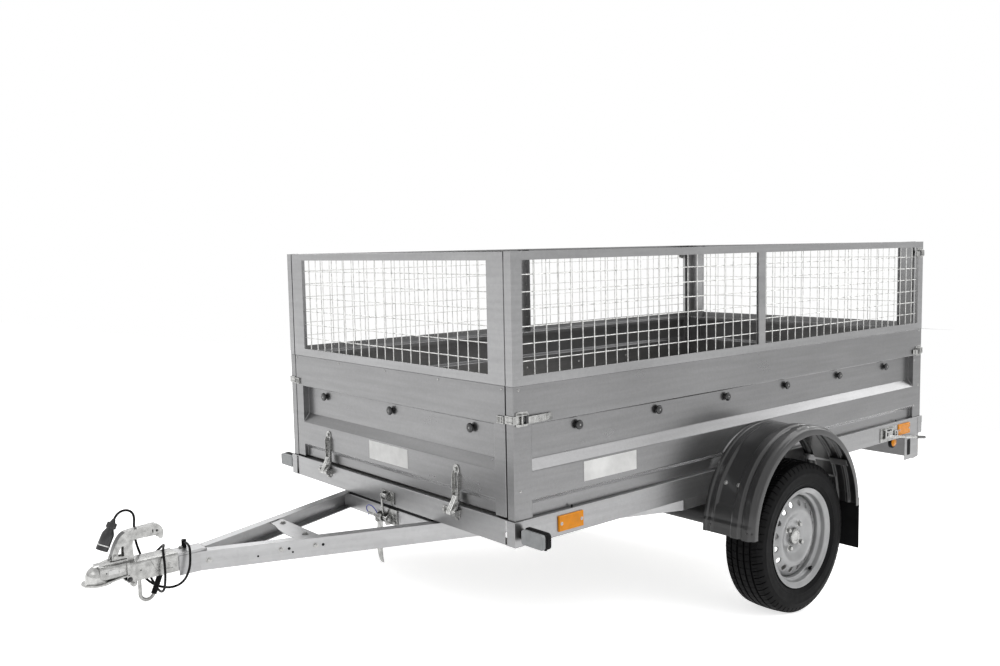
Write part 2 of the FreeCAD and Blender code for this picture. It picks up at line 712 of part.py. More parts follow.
def rubber_pad():
    """The rubber strip on the crossbar that the front sill lies on."""
    rear = SILL_PROUD - CROSSBAR_WIDTH
    half = beam_half(SILL_PROUD) - BEAM_WIDTH * BEAM_LEAN - SHEET
    base = -BEAM_DROP - SHEET
    return box(rear, SILL_PROUD, -half, half, base, base + SHEET + PAD_THICKNESS)


def axle_tube():
    return rod((AXLE_X, -AXLE_HALF_LENGTH, AXLE_Z), (AXLE_X, AXLE_HALF_LENGTH, AXLE_Z), AXLE_RADIUS)


def axle_mounts():
    """Cradles from the beams' undersides to the axle tube."""
    top = -BEAM_DROP - BEAM_HEIGHT
    block = box(AXLE_X - AXLE_MOUNT_LENGTH / 2, AXLE_X + AXLE_MOUNT_LENGTH / 2, BEAM_HALF_REAR - BEAM_WIDTH,
                BEAM_HALF_REAR, AXLE_Z + AXLE_RADIUS / 3, top)
    room = rod((AXLE_X, 0, AXLE_Z), (AXLE_X, AXLE_HALF_LENGTH, AXLE_Z), AXLE_RADIUS + SEAT_GAP)
    left = block.cut(room)
    return Part.makeCompound([left, mirrored(left)])


def arm_outline():
    """The trailing arm seen from the side: two rounds and the web between them."""
    angle = math.radians(ARM_ANGLE)
    lift = V(-math.sin(angle), 0, math.cos(angle))
    axle, hub = V(AXLE_X, 0, AXLE_Z), V(WHEEL_X, 0, WHEEL_Z)
    corners = [axle + lift * AXLE_RADIUS, hub + lift * ARM_HUB_RADIUS,
               hub - lift * ARM_HUB_RADIUS, axle - lift * AXLE_RADIUS]
    return [(c.x, c.z) for c in corners]


def axle_arms():
    """Trailing arms at the tube's ends, each with its stub axle."""
    y = AXLE_HALF_LENGTH
    web = prism([(x, y, z) for x, z in arm_outline()], (0, ARM_SHEET, 0))
    eye = rod((AXLE_X, y, AXLE_Z), (AXLE_X, y + ARM_SHEET, AXLE_Z), AXLE_RADIUS)
    boss = rod((WHEEL_X, y, WHEEL_Z), (WHEEL_X, y + ARM_SHEET, WHEEL_Z), ARM_HUB_RADIUS)
    stub = rod((WHEEL_X, y, WHEEL_Z), (WHEEL_X, DISC_Y - STUB_END_GAP, WHEEL_Z), STUB_RADIUS)
    left = fused([web, eye, boss, stub])
    return Part.makeCompound([left, mirrored(left)])


def pivot_pins():
    """Bolts in the beams' webs that the load box tips on."""
    y = BEAM_HALF_REAR - SHEET
    ear_out = BEAM_HALF_REAR + RUNNING_GAP + PIVOT_EAR
    head_in, head_out = ear_out + EAR_GAP, ear_out + EAR_GAP + PIVOT_HEAD
    pin = rod((PIVOT_X, y, -PIVOT_DROP), (PIVOT_X, head_out, -PIVOT_DROP), PIVOT_RADIUS)
    head = rod((PIVOT_X, head_in, -PIVOT_DROP), (PIVOT_X, head_out, -PIVOT_DROP),
               PIVOT_RADIUS * PIVOT_HEAD_SHARE)
    return pin.fuse(head)


def bored_beam():
    """The left beam with its pivot bolt in place."""
    return fused([drawbar_beam(), pivot_pins()])


def pivot_ears():
    """Ears that hang from the load box's sills onto the pivot bolts."""
    y = BEAM_HALF_REAR + RUNNING_GAP
    half = PIVOT_EAR_RADIUS
    plate = box(PIVOT_X - half, PIVOT_X + half, y, y + PIVOT_EAR, -PIVOT_DROP, SILL_HEIGHT - SHEET)
    round_end = rod((PIVOT_X, y, -PIVOT_DROP), (PIVOT_X, y + PIVOT_EAR, -PIVOT_DROP), half)
    tab = box(PIVOT_X - half, PIVOT_X + half, y, HALF_WIDTH + SILL_PROUD - SHEET,
              SILL_HEIGHT - 2 * SHEET, SILL_HEIGHT - SHEET)
    bore = rod((PIVOT_X, 0, -PIVOT_DROP), (PIVOT_X, BOX_WIDTH, -PIVOT_DROP), PIVOT_RADIUS + PIN_CLEARANCE)
    left = fused([plate, round_end, tab]).cut(bore)
    return Part.makeCompound([left, mirrored(left)])


# Coupling

def across(profile, half_width):
    """A side outline of (x, z) points, as wide as told about the middle plane."""
    return prism([(x, -half_width, z) for x, z in profile], (0, 2 * half_width, 0))


def coupling_housing():
    """The pressed channel over the tongue, with its clamp band and the nut below."""
    half = HOUSING_HALF_WIDTH
    shell = box(TONGUE_FRONT_X - HOUSING_LAP, SHOULDER_X, -half, half, TONGUE_BOTTOM, HOUSING_TOP)
    seat = TONGUE_WIDTH / 2 + SEAT_GAP
    room = box(TONGUE_REAR_X, TONGUE_FRONT_X + SEAT_GAP, -seat, seat, TONGUE_BOTTOM - OVERRUN,
               TONGUE_TOP + SEAT_GAP)
    wide = half + BAND_PROUD
    band = box(SHOULDER_X - BAND_WIDTH, SHOULDER_X, -wide, wide, TONGUE_BOTTOM, HOUSING_TOP + BAND_PROUD)
    nut_x = TONGUE_FRONT_X + SEAT_GAP + LUG_RADIUS
    nut = rod((nut_x, 0, TONGUE_BOTTOM - LUG_LENGTH), (nut_x, 0, TONGUE_BOTTOM), LUG_RADIUS)
    return [shell.cut(room), band, nut]


def coupling_neck():
    """The part between housing and cup: side walls, their flange and the crown on top."""
    top = HOUSING_TOP + NECK_STEP
    low = top - NECK_STEP - NECK_DEPTH - NECK_STEP
    back = SHOULDER_X - BAND_WIDTH
    body = box(back, CUP_X, -DOME_RADIUS, DOME_RADIUS, low, top)
    lip_top = MOUTH_Z + LIP_THICKNESS
    wide = DOME_RADIUS + NECK_FLANGE
    flange = across([(back, low), (CUP_X, MOUTH_Z), (CUP_X, lip_top), (back, low + LIP_THICKNESS)], wide)
    crest = top + CROWN_RISE
    crown = across([(back, top), (CUP_X, top), (back + CROWN_LENGTH, crest), (back, crest)], CROWN_HALF_WIDTH)
    return [body, flange, crown]


def coupling_head():
    """The ball cup with its neck and housing, open below for the ball."""
    dome_z = MOUTH_Z + SOCKET_DEPTH
    centre = V(CUP_X, 0, dome_z)
    dome = Part.makeSphere(DOME_RADIUS, centre, V(0, 0, 1), 0, 90, 360)
    skirt = Part.makeCylinder(DOME_RADIUS, SOCKET_DEPTH, V(CUP_X, 0, MOUTH_Z))
    lip = Part.makeCylinder(LIP_RADIUS, LIP_THICKNESS, V(CUP_X, 0, MOUTH_Z))
    cup = fused([dome, skirt, lip] + coupling_neck())
    body = fused([cup, fused(coupling_housing())])
    socket = Part.makeCylinder(BALL_RADIUS, SOCKET_DEPTH + OVERRUN, V(CUP_X, 0, MOUTH_Z - OVERRUN))
    ball = Part.makeSphere(BALL_RADIUS, centre, V(0, 0, 1), 0, 90, 360)
    return body.cut(fused([socket, ball]))


def handle_outline(shares):
    """Points of the handle's side view, placed by shares of its length and rise."""
    rear = TONGUE_FRONT_X - HANDLE_BACK
    return [(rear + along * HANDLE_LENGTH, HOUSING_TOP + up * HANDLE_RISE) for along, up in shares]


def coupling_handle():
    """The locking handle: a folded channel with two legs, a window between them, and a hooked grip."""
    half = HANDLE_WIDTH / 2
    solid = across(handle_outline(HANDLE_OUTLINE_SHARES), half)
    hollow = across(handle_outline(HANDLE_HOLLOW_SHARES), half - HANDLE_SHEET)
    window = across(handle_outline(HANDLE_WINDOW_SHARES), half + OVERRUN)
    x = TONGUE_FRONT_X - HANDLE_BACK + HANDLE_PIN_SHARE * HANDLE_LENGTH
    z = HOUSING_TOP + NECK_STEP + CROWN_RISE + 2 * HANDLE_PIN_RADIUS
    pin = rod((x, -half - HANDLE_SHEET, z), (x, half + HANDLE_SHEET, z), HANDLE_PIN_RADIUS)
    return fused([solid.cut(hollow).cut(window), pin])


def loop_path():
    """The support loop's middle line: front leg, round bottom and slanted rear leg."""
    top = TONGUE_BOTTOM
    centre = V(LOOP_X, 0, LOOP_Z)
    reach = V(LOOP_REAR_X, 0, top) - centre
    swing = math.acos(LOOP_BEND / reach.Length)
    heading = math.atan2(reach.z, reach.x) + swing
    foot = centre + V(math.cos(heading), 0, math.sin(heading)) * LOOP_BEND
    front = centre + V(LOOP_BEND, 0, 0)
    half = heading / 2 if heading < 0 else heading / 2 - math.pi
    low = centre + V(math.cos(half), 0, math.sin(half)) * LOOP_BEND
    return [V(front.x, 0, top), front, low, foot, V(LOOP_REAR_X, 0, top)]


def support_loop():
    """The round-bar loop below the coupling that the parked trailer rests on."""
    top, front, low, foot, rear = loop_path()
    path = Part.Wire([Part.LineSegment(top, front).toShape(), Part.Arc(front, low, foot).toShape(),
                      Part.LineSegment(foot, rear).toShape()])
    ring = Part.Wire(Part.makeCircle(LOOP_RADIUS, top, V(0, 0, 1)))
    bar = path.makePipeShell([ring], True, False)
    return bar.cut(box(LOOP_REAR_X - OVERRUN, LOOP_X, -OVERRUN, OVERRUN, top.z, top.z + OVERRUN))


def loop_sleeve():
    """The rubber sleeve on the loop's rear leg."""
    foot, rear = loop_path()[3:]
    clear = (rear - foot) * (1 / 8)
    sleeve = rod(tuple(foot), tuple(rear - clear), LOOP_RADIUS + SLEEVE_WALL)
    return sleeve.cut(rod(tuple(foot - clear), tuple(rear), LOOP_RADIUS + SEAT_GAP / 2))


# Tilt latch

def tilt_latch_upper():
    """The latch plate on the front sill, with the hook that the pin passes under."""
    half = LATCH_PLATE_WIDTH / 2
    x = SILL_PROUD
    plate = box(x, x + LATCH_SHEET, -half, half, SHEET, SHEET + LATCH_PLATE_HEIGHT)
    fins = [box(x + LATCH_SHEET, x + LATCH_SHEET + half, y, y + LATCH_SHEET, SHEET, LATCH_PLATE_HEIGHT)
            for y in (-half / 2, half / 2 - LATCH_SHEET)]
    return fused([plate] + fins)


def tilt_latch_lower():
    """The latch on the crossbar: its plate, cheeks, pin and hanging lever."""
    half = LATCH_PLATE_WIDTH / 2
    x = SILL_PROUD
    top = -RUNNING_GAP
    bottom = top - BEAM_HEIGHT
    plate = box(x, x + LATCH_SHEET, -half, half, bottom, top - SHEET)
    cheeks = [box(x + LATCH_SHEET, x + LATCH_SHEET + half, y, y + LATCH_SHEET, bottom, top)
              for y in (-half, half - LATCH_SHEET)]
    pin_x, pin_z = x + LATCH_SHEET + half / 2, bottom + half / 2
    pin = rod((pin_x, -2 * half, pin_z), (pin_x, half + LATCH_SHEET, pin_z), LATCH_PIN_RADIUS)
    lever_x = x + LATCH_SHEET
    low = bottom - LEVER_DROP
    lever = prism([(lever_x, -LEVER_WIDTH / 2, pin_z), (lever_x, -LEVER_WIDTH / 2, bottom - LEVER_DROP / 2),
                   (lever_x + LEVER_SWING, -LEVER_WIDTH / 2, low),
                   (lever_x + LEVER_SWING + LATCH_SHEET, -LEVER_WIDTH / 2, low + LATCH_SHEET),
                   (lever_x + LATCH_SHEET, -LEVER_WIDTH / 2, bottom - LEVER_DROP / 2),
                   (lever_x + LATCH_SHEET, -LEVER_WIDTH / 2, pin_z)], (0, LEVER_WIDTH, 0))
    return fused([plate] + cheeks + [pin, lever])


# Wheels

def tyre():
    """A plain tyre, closed inside, its bulged flanks placed by shares of its height and half width."""
    foot = RIM_RADIUS + SEAT_GAP
    seat = RIM_WIDTH / 2 - 2 * RIM_SHEET
    flank = [(BEAD_RADIUS + SEAT_GAP, seat)]
    flank += [(foot + (TYRE_RADIUS - foot) * up, TYRE_WIDTH / 2 * out) for up, out in TYRE_FLANK_SHARES]
    profile = [(radius, -out) for radius, out in flank] + flank[::-1]
    return revolved(profile, (WHEEL_X, WHEEL_Y, WHEEL_Z))


def rim():
    """The steel rim with its dished disc, vents, hub and cap."""
    half, t = RIM_WIDTH / 2, RIM_SHEET
    well = BEAD_RADIUS - 4 * t
    barrel = [(RIM_RADIUS, -half), (RIM_RADIUS, -half + t), (BEAD_RADIUS, -half + t),
              (BEAD_RADIUS, -half / 2), (well, -half / 2 + 2 * t), (well, half / 3),
              (BEAD_RADIUS, half / 3 + 3 * t), (BEAD_RADIUS, half - t), (RIM_RADIUS, half - t),
              (RIM_RADIUS, half), (BEAD_RADIUS - t, half), (BEAD_RADIUS - t, half / 3 + 4 * t),
              (well - t, half / 3 + t), (well - t, -half / 2 + t), (BEAD_RADIUS - t, -half / 2 - t),
              (BEAD_RADIUS - t, -half)]
    face = WHEEL_OFFSET
    lower = [(CAP_RADIUS, face - t), (HUB_RADIUS + 2 * t, face - t), (VENT_CIRCLE - 4 * t, face + 2 * t),
             (VENT_CIRCLE, face + 2 * t), (well - t, face - t)]
    disc = lower + [(radius, out + t) for radius, out in lower[::-1]]
    hub = [(STUB_RADIUS + STUB_CLEARANCE, face - HUB_LENGTH), (HUB_RADIUS, face - HUB_LENGTH),
           (HUB_RADIUS, face - t), (CAP_RADIUS, face - t), (CAP_RADIUS, face + 4 * t), (0, face + 4 * t),
           (0, face), (STUB_RADIUS + STUB_CLEARANCE, face)]
    centre = (WHEEL_X, WHEEL_Y, WHEEL_Z)
    solid = fused([revolved(part, centre) for part in (barrel, disc, hub)])
    for i in range(VENT_COUNT):
        angle = 2 * math.pi * i / VENT_COUNT
        x = WHEEL_X + VENT_CIRCLE * math.cos(angle)
        z = WHEEL_Z + VENT_CIRCLE * math.sin(angle)
        solid = solid.cut(rod((x, WHEEL_Y, z), (x, WHEEL_Y + TYRE_WIDTH, z), VENT_RADIUS))
    return solid


# Fenders

def fender_profile():
    """The fender in section as (radius, y) points: inner rib, crown, two ridges and outer lip."""
    r, t = FENDER_RADIUS, FENDER_SHEET
    inner, outer = FENDER_INNER, FENDER_OUTER
    wide = outer - inner
    outside = [(r, inner), (r + RIDGE / 2, inner), (r + RIDGE / 2, inner + 2 * t), (r, inner + 3 * t)]
    inside = []
    for shares in RIDGE_SHARES:
        y0, y1, y2, y3 = [outer - wide * share for share in shares]
        outside += [(r, y0), (r + RIDGE, y1), (r + RIDGE, y2), (r, y3)]
        inside += [(r - t, y0 + t / 2), (r + RIDGE - t, y1 + t / 2), (r + RIDGE - t, y2 - t / 2),
                   (r - t, y3 - t / 2)]
    lip = [(r - FENDER_LIP, outer), (r - FENDER_LIP, outer - t)]
    return outside + lip + inside[::-1] + [(r - t, inner)]


def fender():
    """The left fender, a half ring over the wheel."""
    outline = [V(FENDER_X + radius, y, FENDER_Z) for radius, y in fender_profile()]
    face = Part.Face(Part.makePolygon(outline + [outline[0]]))
    return face.revolve(V(FENDER_X, 0, FENDER_Z), V(0, -1, 0), 180)


def mudflaps():
    """Rubber flaps behind the wheels."""
    x = FENDER_X - FENDER_RADIUS - RIDGE - SEAT_GAP
    left = box(x - FLAP_THICKNESS, x, FENDER_INNER + FLAP_INSET, FENDER_OUTER - FLAP_INSET,
               FLAP_BOTTOM, FENDER_Z + FENDER_LIP)
    return Part.makeCompound([left, mirrored(left)])


def fender_bracket(side):
    """A bar from the sill that holds the left fender from inside, in front of its middle or behind."""
    angle = math.radians(BRACKET_ANGLE)
    half = BRACKET_WIDTH / 2
    radius = math.sqrt((FENDER_RADIUS - FENDER_SHEET) ** 2 - half ** 2) - SEAT_GAP
    root = HALF_WIDTH + SILL_PROUD
    bar = box(radius - SHEET, radius, root, FENDER_OUTER - FENDER_LIP, -half, half)
    bar.rotate(V(0, 0, 0), V(0, 1, 0), -BRACKET_ANGLE)
    x, z = radius * math.cos(angle), radius * math.sin(angle)
    foot = box(x, x + BRACKET_WIDTH, root, root + SHEET, z - half, z)
    bracket = bar.fuse(foot)
    if side > 0:
        bracket = bracket.mirror(V(0, 0, 0), V(1, 0, 0))
    bracket.translate(V(FENDER_X, 0, FENDER_Z))
    return bracket


def fender_brackets():
    left = [fender_bracket(side) for side in (1, -1)]
    return Part.makeCompound(left + [mirrored(bracket) for bracket in left])


# Lamps, reflectors, rear board and catches

def reflectors():
    """Side reflectors, two on each side sill."""
    y = HALF_WIDTH + SILL_PROUD
    z = (SILL_HEIGHT - REFLECTOR_HEIGHT) / 2
    left = []
    for x in (-REFLECTOR_FRONT_SETBACK, -BOX_LENGTH + REFLECTOR_REAR_SETBACK + REFLECTOR_LENGTH):
        body = box(x - REFLECTOR_LENGTH, x, y, y + REFLECTOR_THICKNESS, z, z + REFLECTOR_HEIGHT)
        left.append(body.makeFillet(REFLECTOR_THICKNESS / 2, body.Faces[3].Edges))
    return Part.makeCompound(left + [mirrored(body) for body in left])


def position_lamp(x0, x1):
    """A block of the left front position lamp between two distances behind its face."""
    y = HALF_WIDTH + SILL_PROUD + POSITION_REACH
    z = (SILL_HEIGHT - POSITION_HEIGHT) / 2
    body = box(-x1, -x0, y, y + POSITION_WIDTH, z, z + POSITION_HEIGHT)
    outer = [e for e in body.Edges if abs(e.BoundBox.YMin - y - POSITION_WIDTH) < SEAT_GAP]
    return body.makeFillet(POSITION_HEIGHT / 4, [e for e in outer if e.BoundBox.XLength > SEAT_GAP])


def position_lamps():
    left = position_lamp(POSITION_LENS + SEAT_GAP, POSITION_DEPTH)
    y = HALF_WIDTH + SILL_PROUD
    z = (SILL_HEIGHT - POSITION_HEIGHT) / 2
    quarter = POSITION_HEIGHT / 4
    arm = box(-POSITION_DEPTH, -POSITION_LENS - SEAT_GAP, y + CAP_PROUD, y + 2 * POSITION_REACH,
              z + quarter, z + POSITION_HEIGHT - quarter)
    left = fused([left, arm])
    return Part.makeCompound([left, mirrored(left)])


def position_lenses():
    left = position_lamp(0, POSITION_LENS)
    return Part.makeCompound([left, mirrored(left)])


def lamp_board():
    """The sheet board under the rear sill that carries lamps and plate, with folded ends."""
    x = -BOX_LENGTH - SILL_PROUD
    half = BOARD_WIDTH / 2
    sheet = box(x, x + SHEET, -half, half, -BOARD_DROP, -SEAT_GAP)
    ends = [box(x, x + BOARD_FLANGE, y, y + SHEET, -BOARD_DROP, -SEAT_GAP) for y in (-half, half - SHEET)]
    lip = box(x, x + BOARD_FLANGE, -half, half, -SHEET - SEAT_GAP, -SEAT_GAP)
    return fused([sheet, lip] + ends)


def rear_lamps():
    """Rectangular rear lamps on the board's back."""
    x = -BOX_LENGTH - SILL_PROUD
    outer = BOARD_WIDTH / 2 - RUNNING_GAP
    z = -BOARD_DROP + (BOARD_DROP - REAR_LAMP_HEIGHT) / 2
    body = box(x - REAR_LAMP_DEPTH, x, outer - REAR_LAMP_LENGTH, outer, z, z + REAR_LAMP_HEIGHT)
    left = body.makeFillet(REAR_LAMP_DEPTH / 8, body.Faces[0].Edges)
    return Part.makeCompound([left, mirrored(left)])


def number_plate():
    x = -BOX_LENGTH - SILL_PROUD
    low = -BOARD_DROP + (BOARD_DROP - PLATE_HEIGHT) / 2
    return box(x - PLATE_THICKNESS, x, -PLATE_LENGTH / 2, PLATE_LENGTH / 2, low, low + PLATE_HEIGHT)


def sill_catches():
    """Lever catches at the rear of the side sills."""
    y = HALF_WIDTH + SILL_PROUD
    z = (SILL_HEIGHT - CATCH_HEIGHT) / 2
    x = -BOX_LENGTH + CATCH_SETBACK + CATCH_LENGTH
    sixth = CATCH_HEIGHT / 6
    near, far = [x - CATCH_LENGTH * share for share in CATCH_BLOCK_SHARES]
    plate = box(x - CATCH_LENGTH, x, y, y + SHEET, z, z + CATCH_HEIGHT)
    block = box(far, near, y, y + CATCH_PROUD, z + sixth, z + CATCH_HEIGHT - sixth)
    start = (x - CATCH_LENGTH / 2, y + CATCH_PROUD, z + sixth + CATCH_BAR)
    lever = rod(start, (start[0] - CATCH_LEVER, start[1], start[2]), CATCH_BAR / 2)
    left = fused([plate, block, lever])
    return Part.makeCompound([left, mirrored(left)])


# Cable and plug

def cable():
    return tube(CABLE_ROUTE, CABLE_RADIUS)


def plug():
    """The plug at the cable's end, in line with the last run: clamping nut, taper and body."""
    end = V(*CABLE_ROUTE[-1])
    along = (end - V(*CABLE_ROUTE[-2])).normalize()
    neck = Part.makeCylinder(PLUG_NECK_RADIUS, PLUG_NECK, end, along)
    taper = Part.makeCone(PLUG_THROAT_RADIUS, PLUG_RADIUS, PLUG_TAPER, end + along * PLUG_NECK, along)
    body = Part.makeCylinder(PLUG_RADIUS, PLUG_LENGTH, end + along * (PLUG_NECK + PLUG_TAPER), along)
    return fused([neck, taper, body])


def cable_gland():
    """The grommet on top of the tongue where the cable comes out."""
    start = V(*CABLE_ROUTE[0])
    foot = V(start.x, start.y, TONGUE_TOP)
    block = Part.makeCylinder(2 * CABLE_RADIUS, start.z - TONGUE_TOP + 2 * CABLE_RADIUS, foot)
    ahead = V(*CABLE_ROUTE[1]) - start
    return block.cut(Part.makeCylinder(CABLE_RADIUS + SEAT_GAP, OVERRUN, start, ahead))


# The parked pose

def parked_pitch():
    """The pitch, in degrees, that brings the wheels and the loop's round bottom onto one floor."""
    along, up = LOOP_X - WHEEL_X, LOOP_Z - WHEEL_Z
    drop = TYRE_RADIUS - (LOOP_BEND + LOOP_RADIUS)
    return math.degrees(math.atan2(up, along) + math.asin(drop / math.hypot(along, up)))


CORD_NODES = ("cable", "plug")


def parts():
    """Every node by name, level."""
    gate = front_panel()
    mesh = front_mesh()
    straps = front_straps()
    knobs = front_knobs()
    left = {"side_sill": side_sill(), "side_wall": side_wall(), "side_mesh": side_mesh(), "fender": fender(),
            "drawbar": bored_beam(), "tyre": tyre(), "rim": rim()}
    nodes = {name + "_left": shape for name, shape in left.items()}
    nodes.update({name + "_right": mirrored(shape) for name, shape in left.items()})
    nodes.update({
        "tongue": tongue(), "drawbar_gusset": drawbar_gusset(), "drawbar_crossbar": drawbar_crossbar(),
        "rubber_pad": rubber_pad(), "coupling_head": coupling_head(), "coupling_handle": coupling_handle(),
        "support_loop": support_loop(), "loop_sleeve": loop_sleeve(), "tilt_latch_lower": tilt_latch_lower(),
        "axle_tube": axle_tube(), "axle_mounts": axle_mounts(), "axle_arms": axle_arms(),
        "cable_gland": cable_gland(), "cable": cable(), "plug": plug(),
        "end_sills": end_sills(), "floor_panel": floor_panel(), "cross_members": cross_members(),
        "pivot_ears": pivot_ears(), "mudflaps": mudflaps(), "fender_brackets": fender_brackets(),
        "side_reflectors": reflectors(), "position_lamps": position_lamps(),
        "position_lenses": position_lenses(), "lamp_board": lamp_board(), "rear_lamps": rear_lamps(),
        "number_plate": number_plate(), "sill_catches": sill_catches(), "side_knobs": side_knobs(),
        "corner_latches": corner_latches(), "gate_hinges": hinge_brackets(),
        "tilt_latch_upper": tilt_latch_upper(),
        "front_panel": gate, "front_mesh": mesh, "front_straps": straps, "front_knobs": knobs,
        "front_keepers": front_keepers(),
        "tail_panel": to_rear(gate), "tail_mesh": to_rear(mesh), "tail_straps": to_rear(straps),
        "tail_knobs": to_rear(knobs), "tail_keepers": tail_keepers(),
    })
    return nodes


def parked(nodes):
    """The nodes in the trailer's own frame: pitched, on the floor and centred."""
    shapes = {}
    for name, shape in nodes.items():
        moved = shape.copy()
        moved.rotate(V(0, 0, 0), V(0, 1, 0), parked_pitch())
        shapes[name] = moved
    bounds = FreeCAD.BoundBox()
    for name, shape in shapes.items():
        if name not in CORD_NODES:
            bounds.add(shape.optimalBoundingBox(False))
    shift = V(-(bounds.XMin + bounds.XMax) / 2, -(bounds.YMin + bounds.YMax) / 2, -bounds.ZMin)
    for shape in shapes.values():
        shape.translate(shift)
    return shapes, shift


def main():
    os.makedirs("parts", exist_ok=True)
    shapes, shift = parked(parts())
    print("pitch", round(parked_pitch(), 4), "shift", [round(c, 4) for c in shift])
    for name, shape in shapes.items():
        shape.exportStep("parts/" + name + ".step")


if __name__ == "__main__":
    main()
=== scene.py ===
import bpy
import bmesh
import json
import math
from mathutils import Matrix, Vector

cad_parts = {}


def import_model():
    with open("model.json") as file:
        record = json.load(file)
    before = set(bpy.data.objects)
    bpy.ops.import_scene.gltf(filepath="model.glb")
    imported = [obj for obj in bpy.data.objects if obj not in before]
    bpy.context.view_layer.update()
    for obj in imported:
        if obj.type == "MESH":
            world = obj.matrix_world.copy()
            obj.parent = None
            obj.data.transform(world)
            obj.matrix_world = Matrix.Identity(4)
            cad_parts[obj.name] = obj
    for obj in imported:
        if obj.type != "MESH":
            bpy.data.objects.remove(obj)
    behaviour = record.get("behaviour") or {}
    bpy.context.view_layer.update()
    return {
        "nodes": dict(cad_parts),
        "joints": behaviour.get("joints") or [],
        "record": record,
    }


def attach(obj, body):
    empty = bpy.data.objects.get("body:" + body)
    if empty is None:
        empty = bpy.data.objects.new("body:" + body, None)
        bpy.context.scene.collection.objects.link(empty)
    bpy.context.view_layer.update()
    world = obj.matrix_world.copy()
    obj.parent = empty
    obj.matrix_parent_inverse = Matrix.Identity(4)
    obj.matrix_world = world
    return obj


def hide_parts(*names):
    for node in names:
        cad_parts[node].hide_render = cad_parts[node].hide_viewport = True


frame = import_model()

# The trailer's own level frame, in millimetres: X forward from the front wall, Y left, Z up from the sills.
# LEVEL brings it to the parked pose, from the floor's direction and the tipping pivot in the record.
PIVOT = Vector((-1280.06, 0, -55.0))
X, Y, Z = (1, 0, 0), (0, 1, 0), (0, 0, 1)


def level_matrix():
    """The matrix from the level frame, in metres, to the row frame."""
    mounts = {m["name"]: m for m in frame["record"]["mounts"]}
    joints = {j["name"]: j for j in frame["joints"]}
    up = Vector(mounts["load_floor"]["axis"]).normalized()
    ahead = Vector((up.z, 0, -up.x))
    turn = Matrix((ahead, Vector(Y), up)).transposed()
    start = Vector(joints["bed_tip"]["pos_m"]) - turn @ (PIVOT * 0.001)
    return Matrix.Translation(start) @ turn.to_4x4()


LEVEL = level_matrix()

# Sizes shared with the solids, in millimetres
LENGTH, HALF, GATE_HALF = 2420.0, 656.0, 621.0
SILL_TOP, GATE_FOLD, WALL_TOP, MESH_TOP = 75.0, 114.0, 468.0, 854.0
HUB = (-1222.06, 751.0, -195.92)
FENDER, FENDER_R = (-1198.06, 0, -124.92), 335.0


def row(x, y, z):
    """A level place in millimetres as a place in the row frame in metres."""
    return LEVEL @ (Vector((x, y, z)) * 0.001)


def place_object(name, data):
    """A new object in the scene."""
    obj = bpy.data.objects.new(name, data)
    bpy.context.scene.collection.objects.link(obj)
    return obj


def nodes_of(owner):
    """The emptied node tree of a material or a world."""
    owner.use_nodes = True
    owner.node_tree.nodes.clear()
    return owner.node_tree


def new_node(tree, kind, inputs=(), **settings):
    """A shader node with its settings, and its inputs either linked or set."""
    node = tree.nodes.new("ShaderNode" + kind)
    for name, value in settings.items():
        setattr(node, name, value)
    for name, value in dict(inputs).items():
        if isinstance(value, bpy.types.NodeSocket):
            tree.links.new(value, node.inputs[name])
        else:
            node.inputs[name].default_value = value
    return node


def greys(tree, value, stops):
    """A grey that follows a value by (place, tone) stops."""
    node = new_node(tree, "ValToRGB", {0: value})
    elements = node.color_ramp.elements
    for element, (place, tone) in zip(elements, (stops[0], stops[-1])):
        element.position, element.color = place, (tone, tone, tone, 1)
    for place, tone in stops[1:-1]:
        elements.new(place).color = (tone, tone, tone, 1)
    return node.outputs[0]


# Camera, floor and light

FLOOR_SIZE, FLOOR_TONE, FLOOR_GLOW = 30, 0.86, 0.72
SKY = [(0.0, 0.3), (0.08, 0.42), (0.3, 0.7), (0.55, 0.88), (1.0, 0.95)]


def camera():
    """The photograph's camera, by its directions and its place in the level frame."""
    data = bpy.data.cameras.new("camera")
    data.sensor_width, data.lens, data.clip_end = 36.0, 34.669, 100.0
    cam = place_object("camera", data)
    right = Vector((-0.762615, 0.646573, -0.019002))
    down = Vector((0.072609, 0.056376, -0.995766))
    ahead = Vector((-0.642764, -0.760766, -0.08994))
    turn = LEVEL.to_3x3() @ Matrix((right, -down, -ahead)).transposed()
    cam.matrix_world = Matrix.Translation(row(1778.628, 2710.34, 869.749)) @ turn.to_4x4()
    bpy.context.scene.camera = cam


def shown(tree):
    """One where a ray shows the background: straight from the camera, by reflection or through glass."""
    path = new_node(tree, "LightPath").outputs
    seen = path["Is Camera Ray"]
    for name in ("Is Glossy Ray", "Is Transmission Ray"):
        seen = new_node(tree, "Math", {0: seen, 1: path[name]}, operation="MAXIMUM").outputs[0]
    return seen


def floor():
    """White ground that takes the shadow and glows where it is seen."""
    bm = bmesh.new()
    bmesh.ops.create_grid(bm, x_segments=1, y_segments=1, size=FLOOR_SIZE)
    mesh = bpy.data.meshes.new("studio_floor")
    bm.to_mesh(mesh)
    bm.free()
    obj = place_object("studio_floor", mesh)
    material = bpy.data.materials.new("studio_floor")
    tree = nodes_of(material)
    shade = new_node(tree, "BsdfDiffuse", {"Color": (FLOOR_TONE, FLOOR_TONE, FLOOR_TONE, 1)})
    power = new_node(tree, "Math", {0: shown(tree), 1: FLOOR_GLOW}, operation="MULTIPLY")
    glow = new_node(tree, "Emission", {"Strength": power.outputs[0]})
    total = new_node(tree, "AddShader", {0: shade.outputs[0], 1: glow.outputs[0]})
    new_node(tree, "OutputMaterial", {"Surface": total.outputs[0]})
    mesh.materials.append(material)


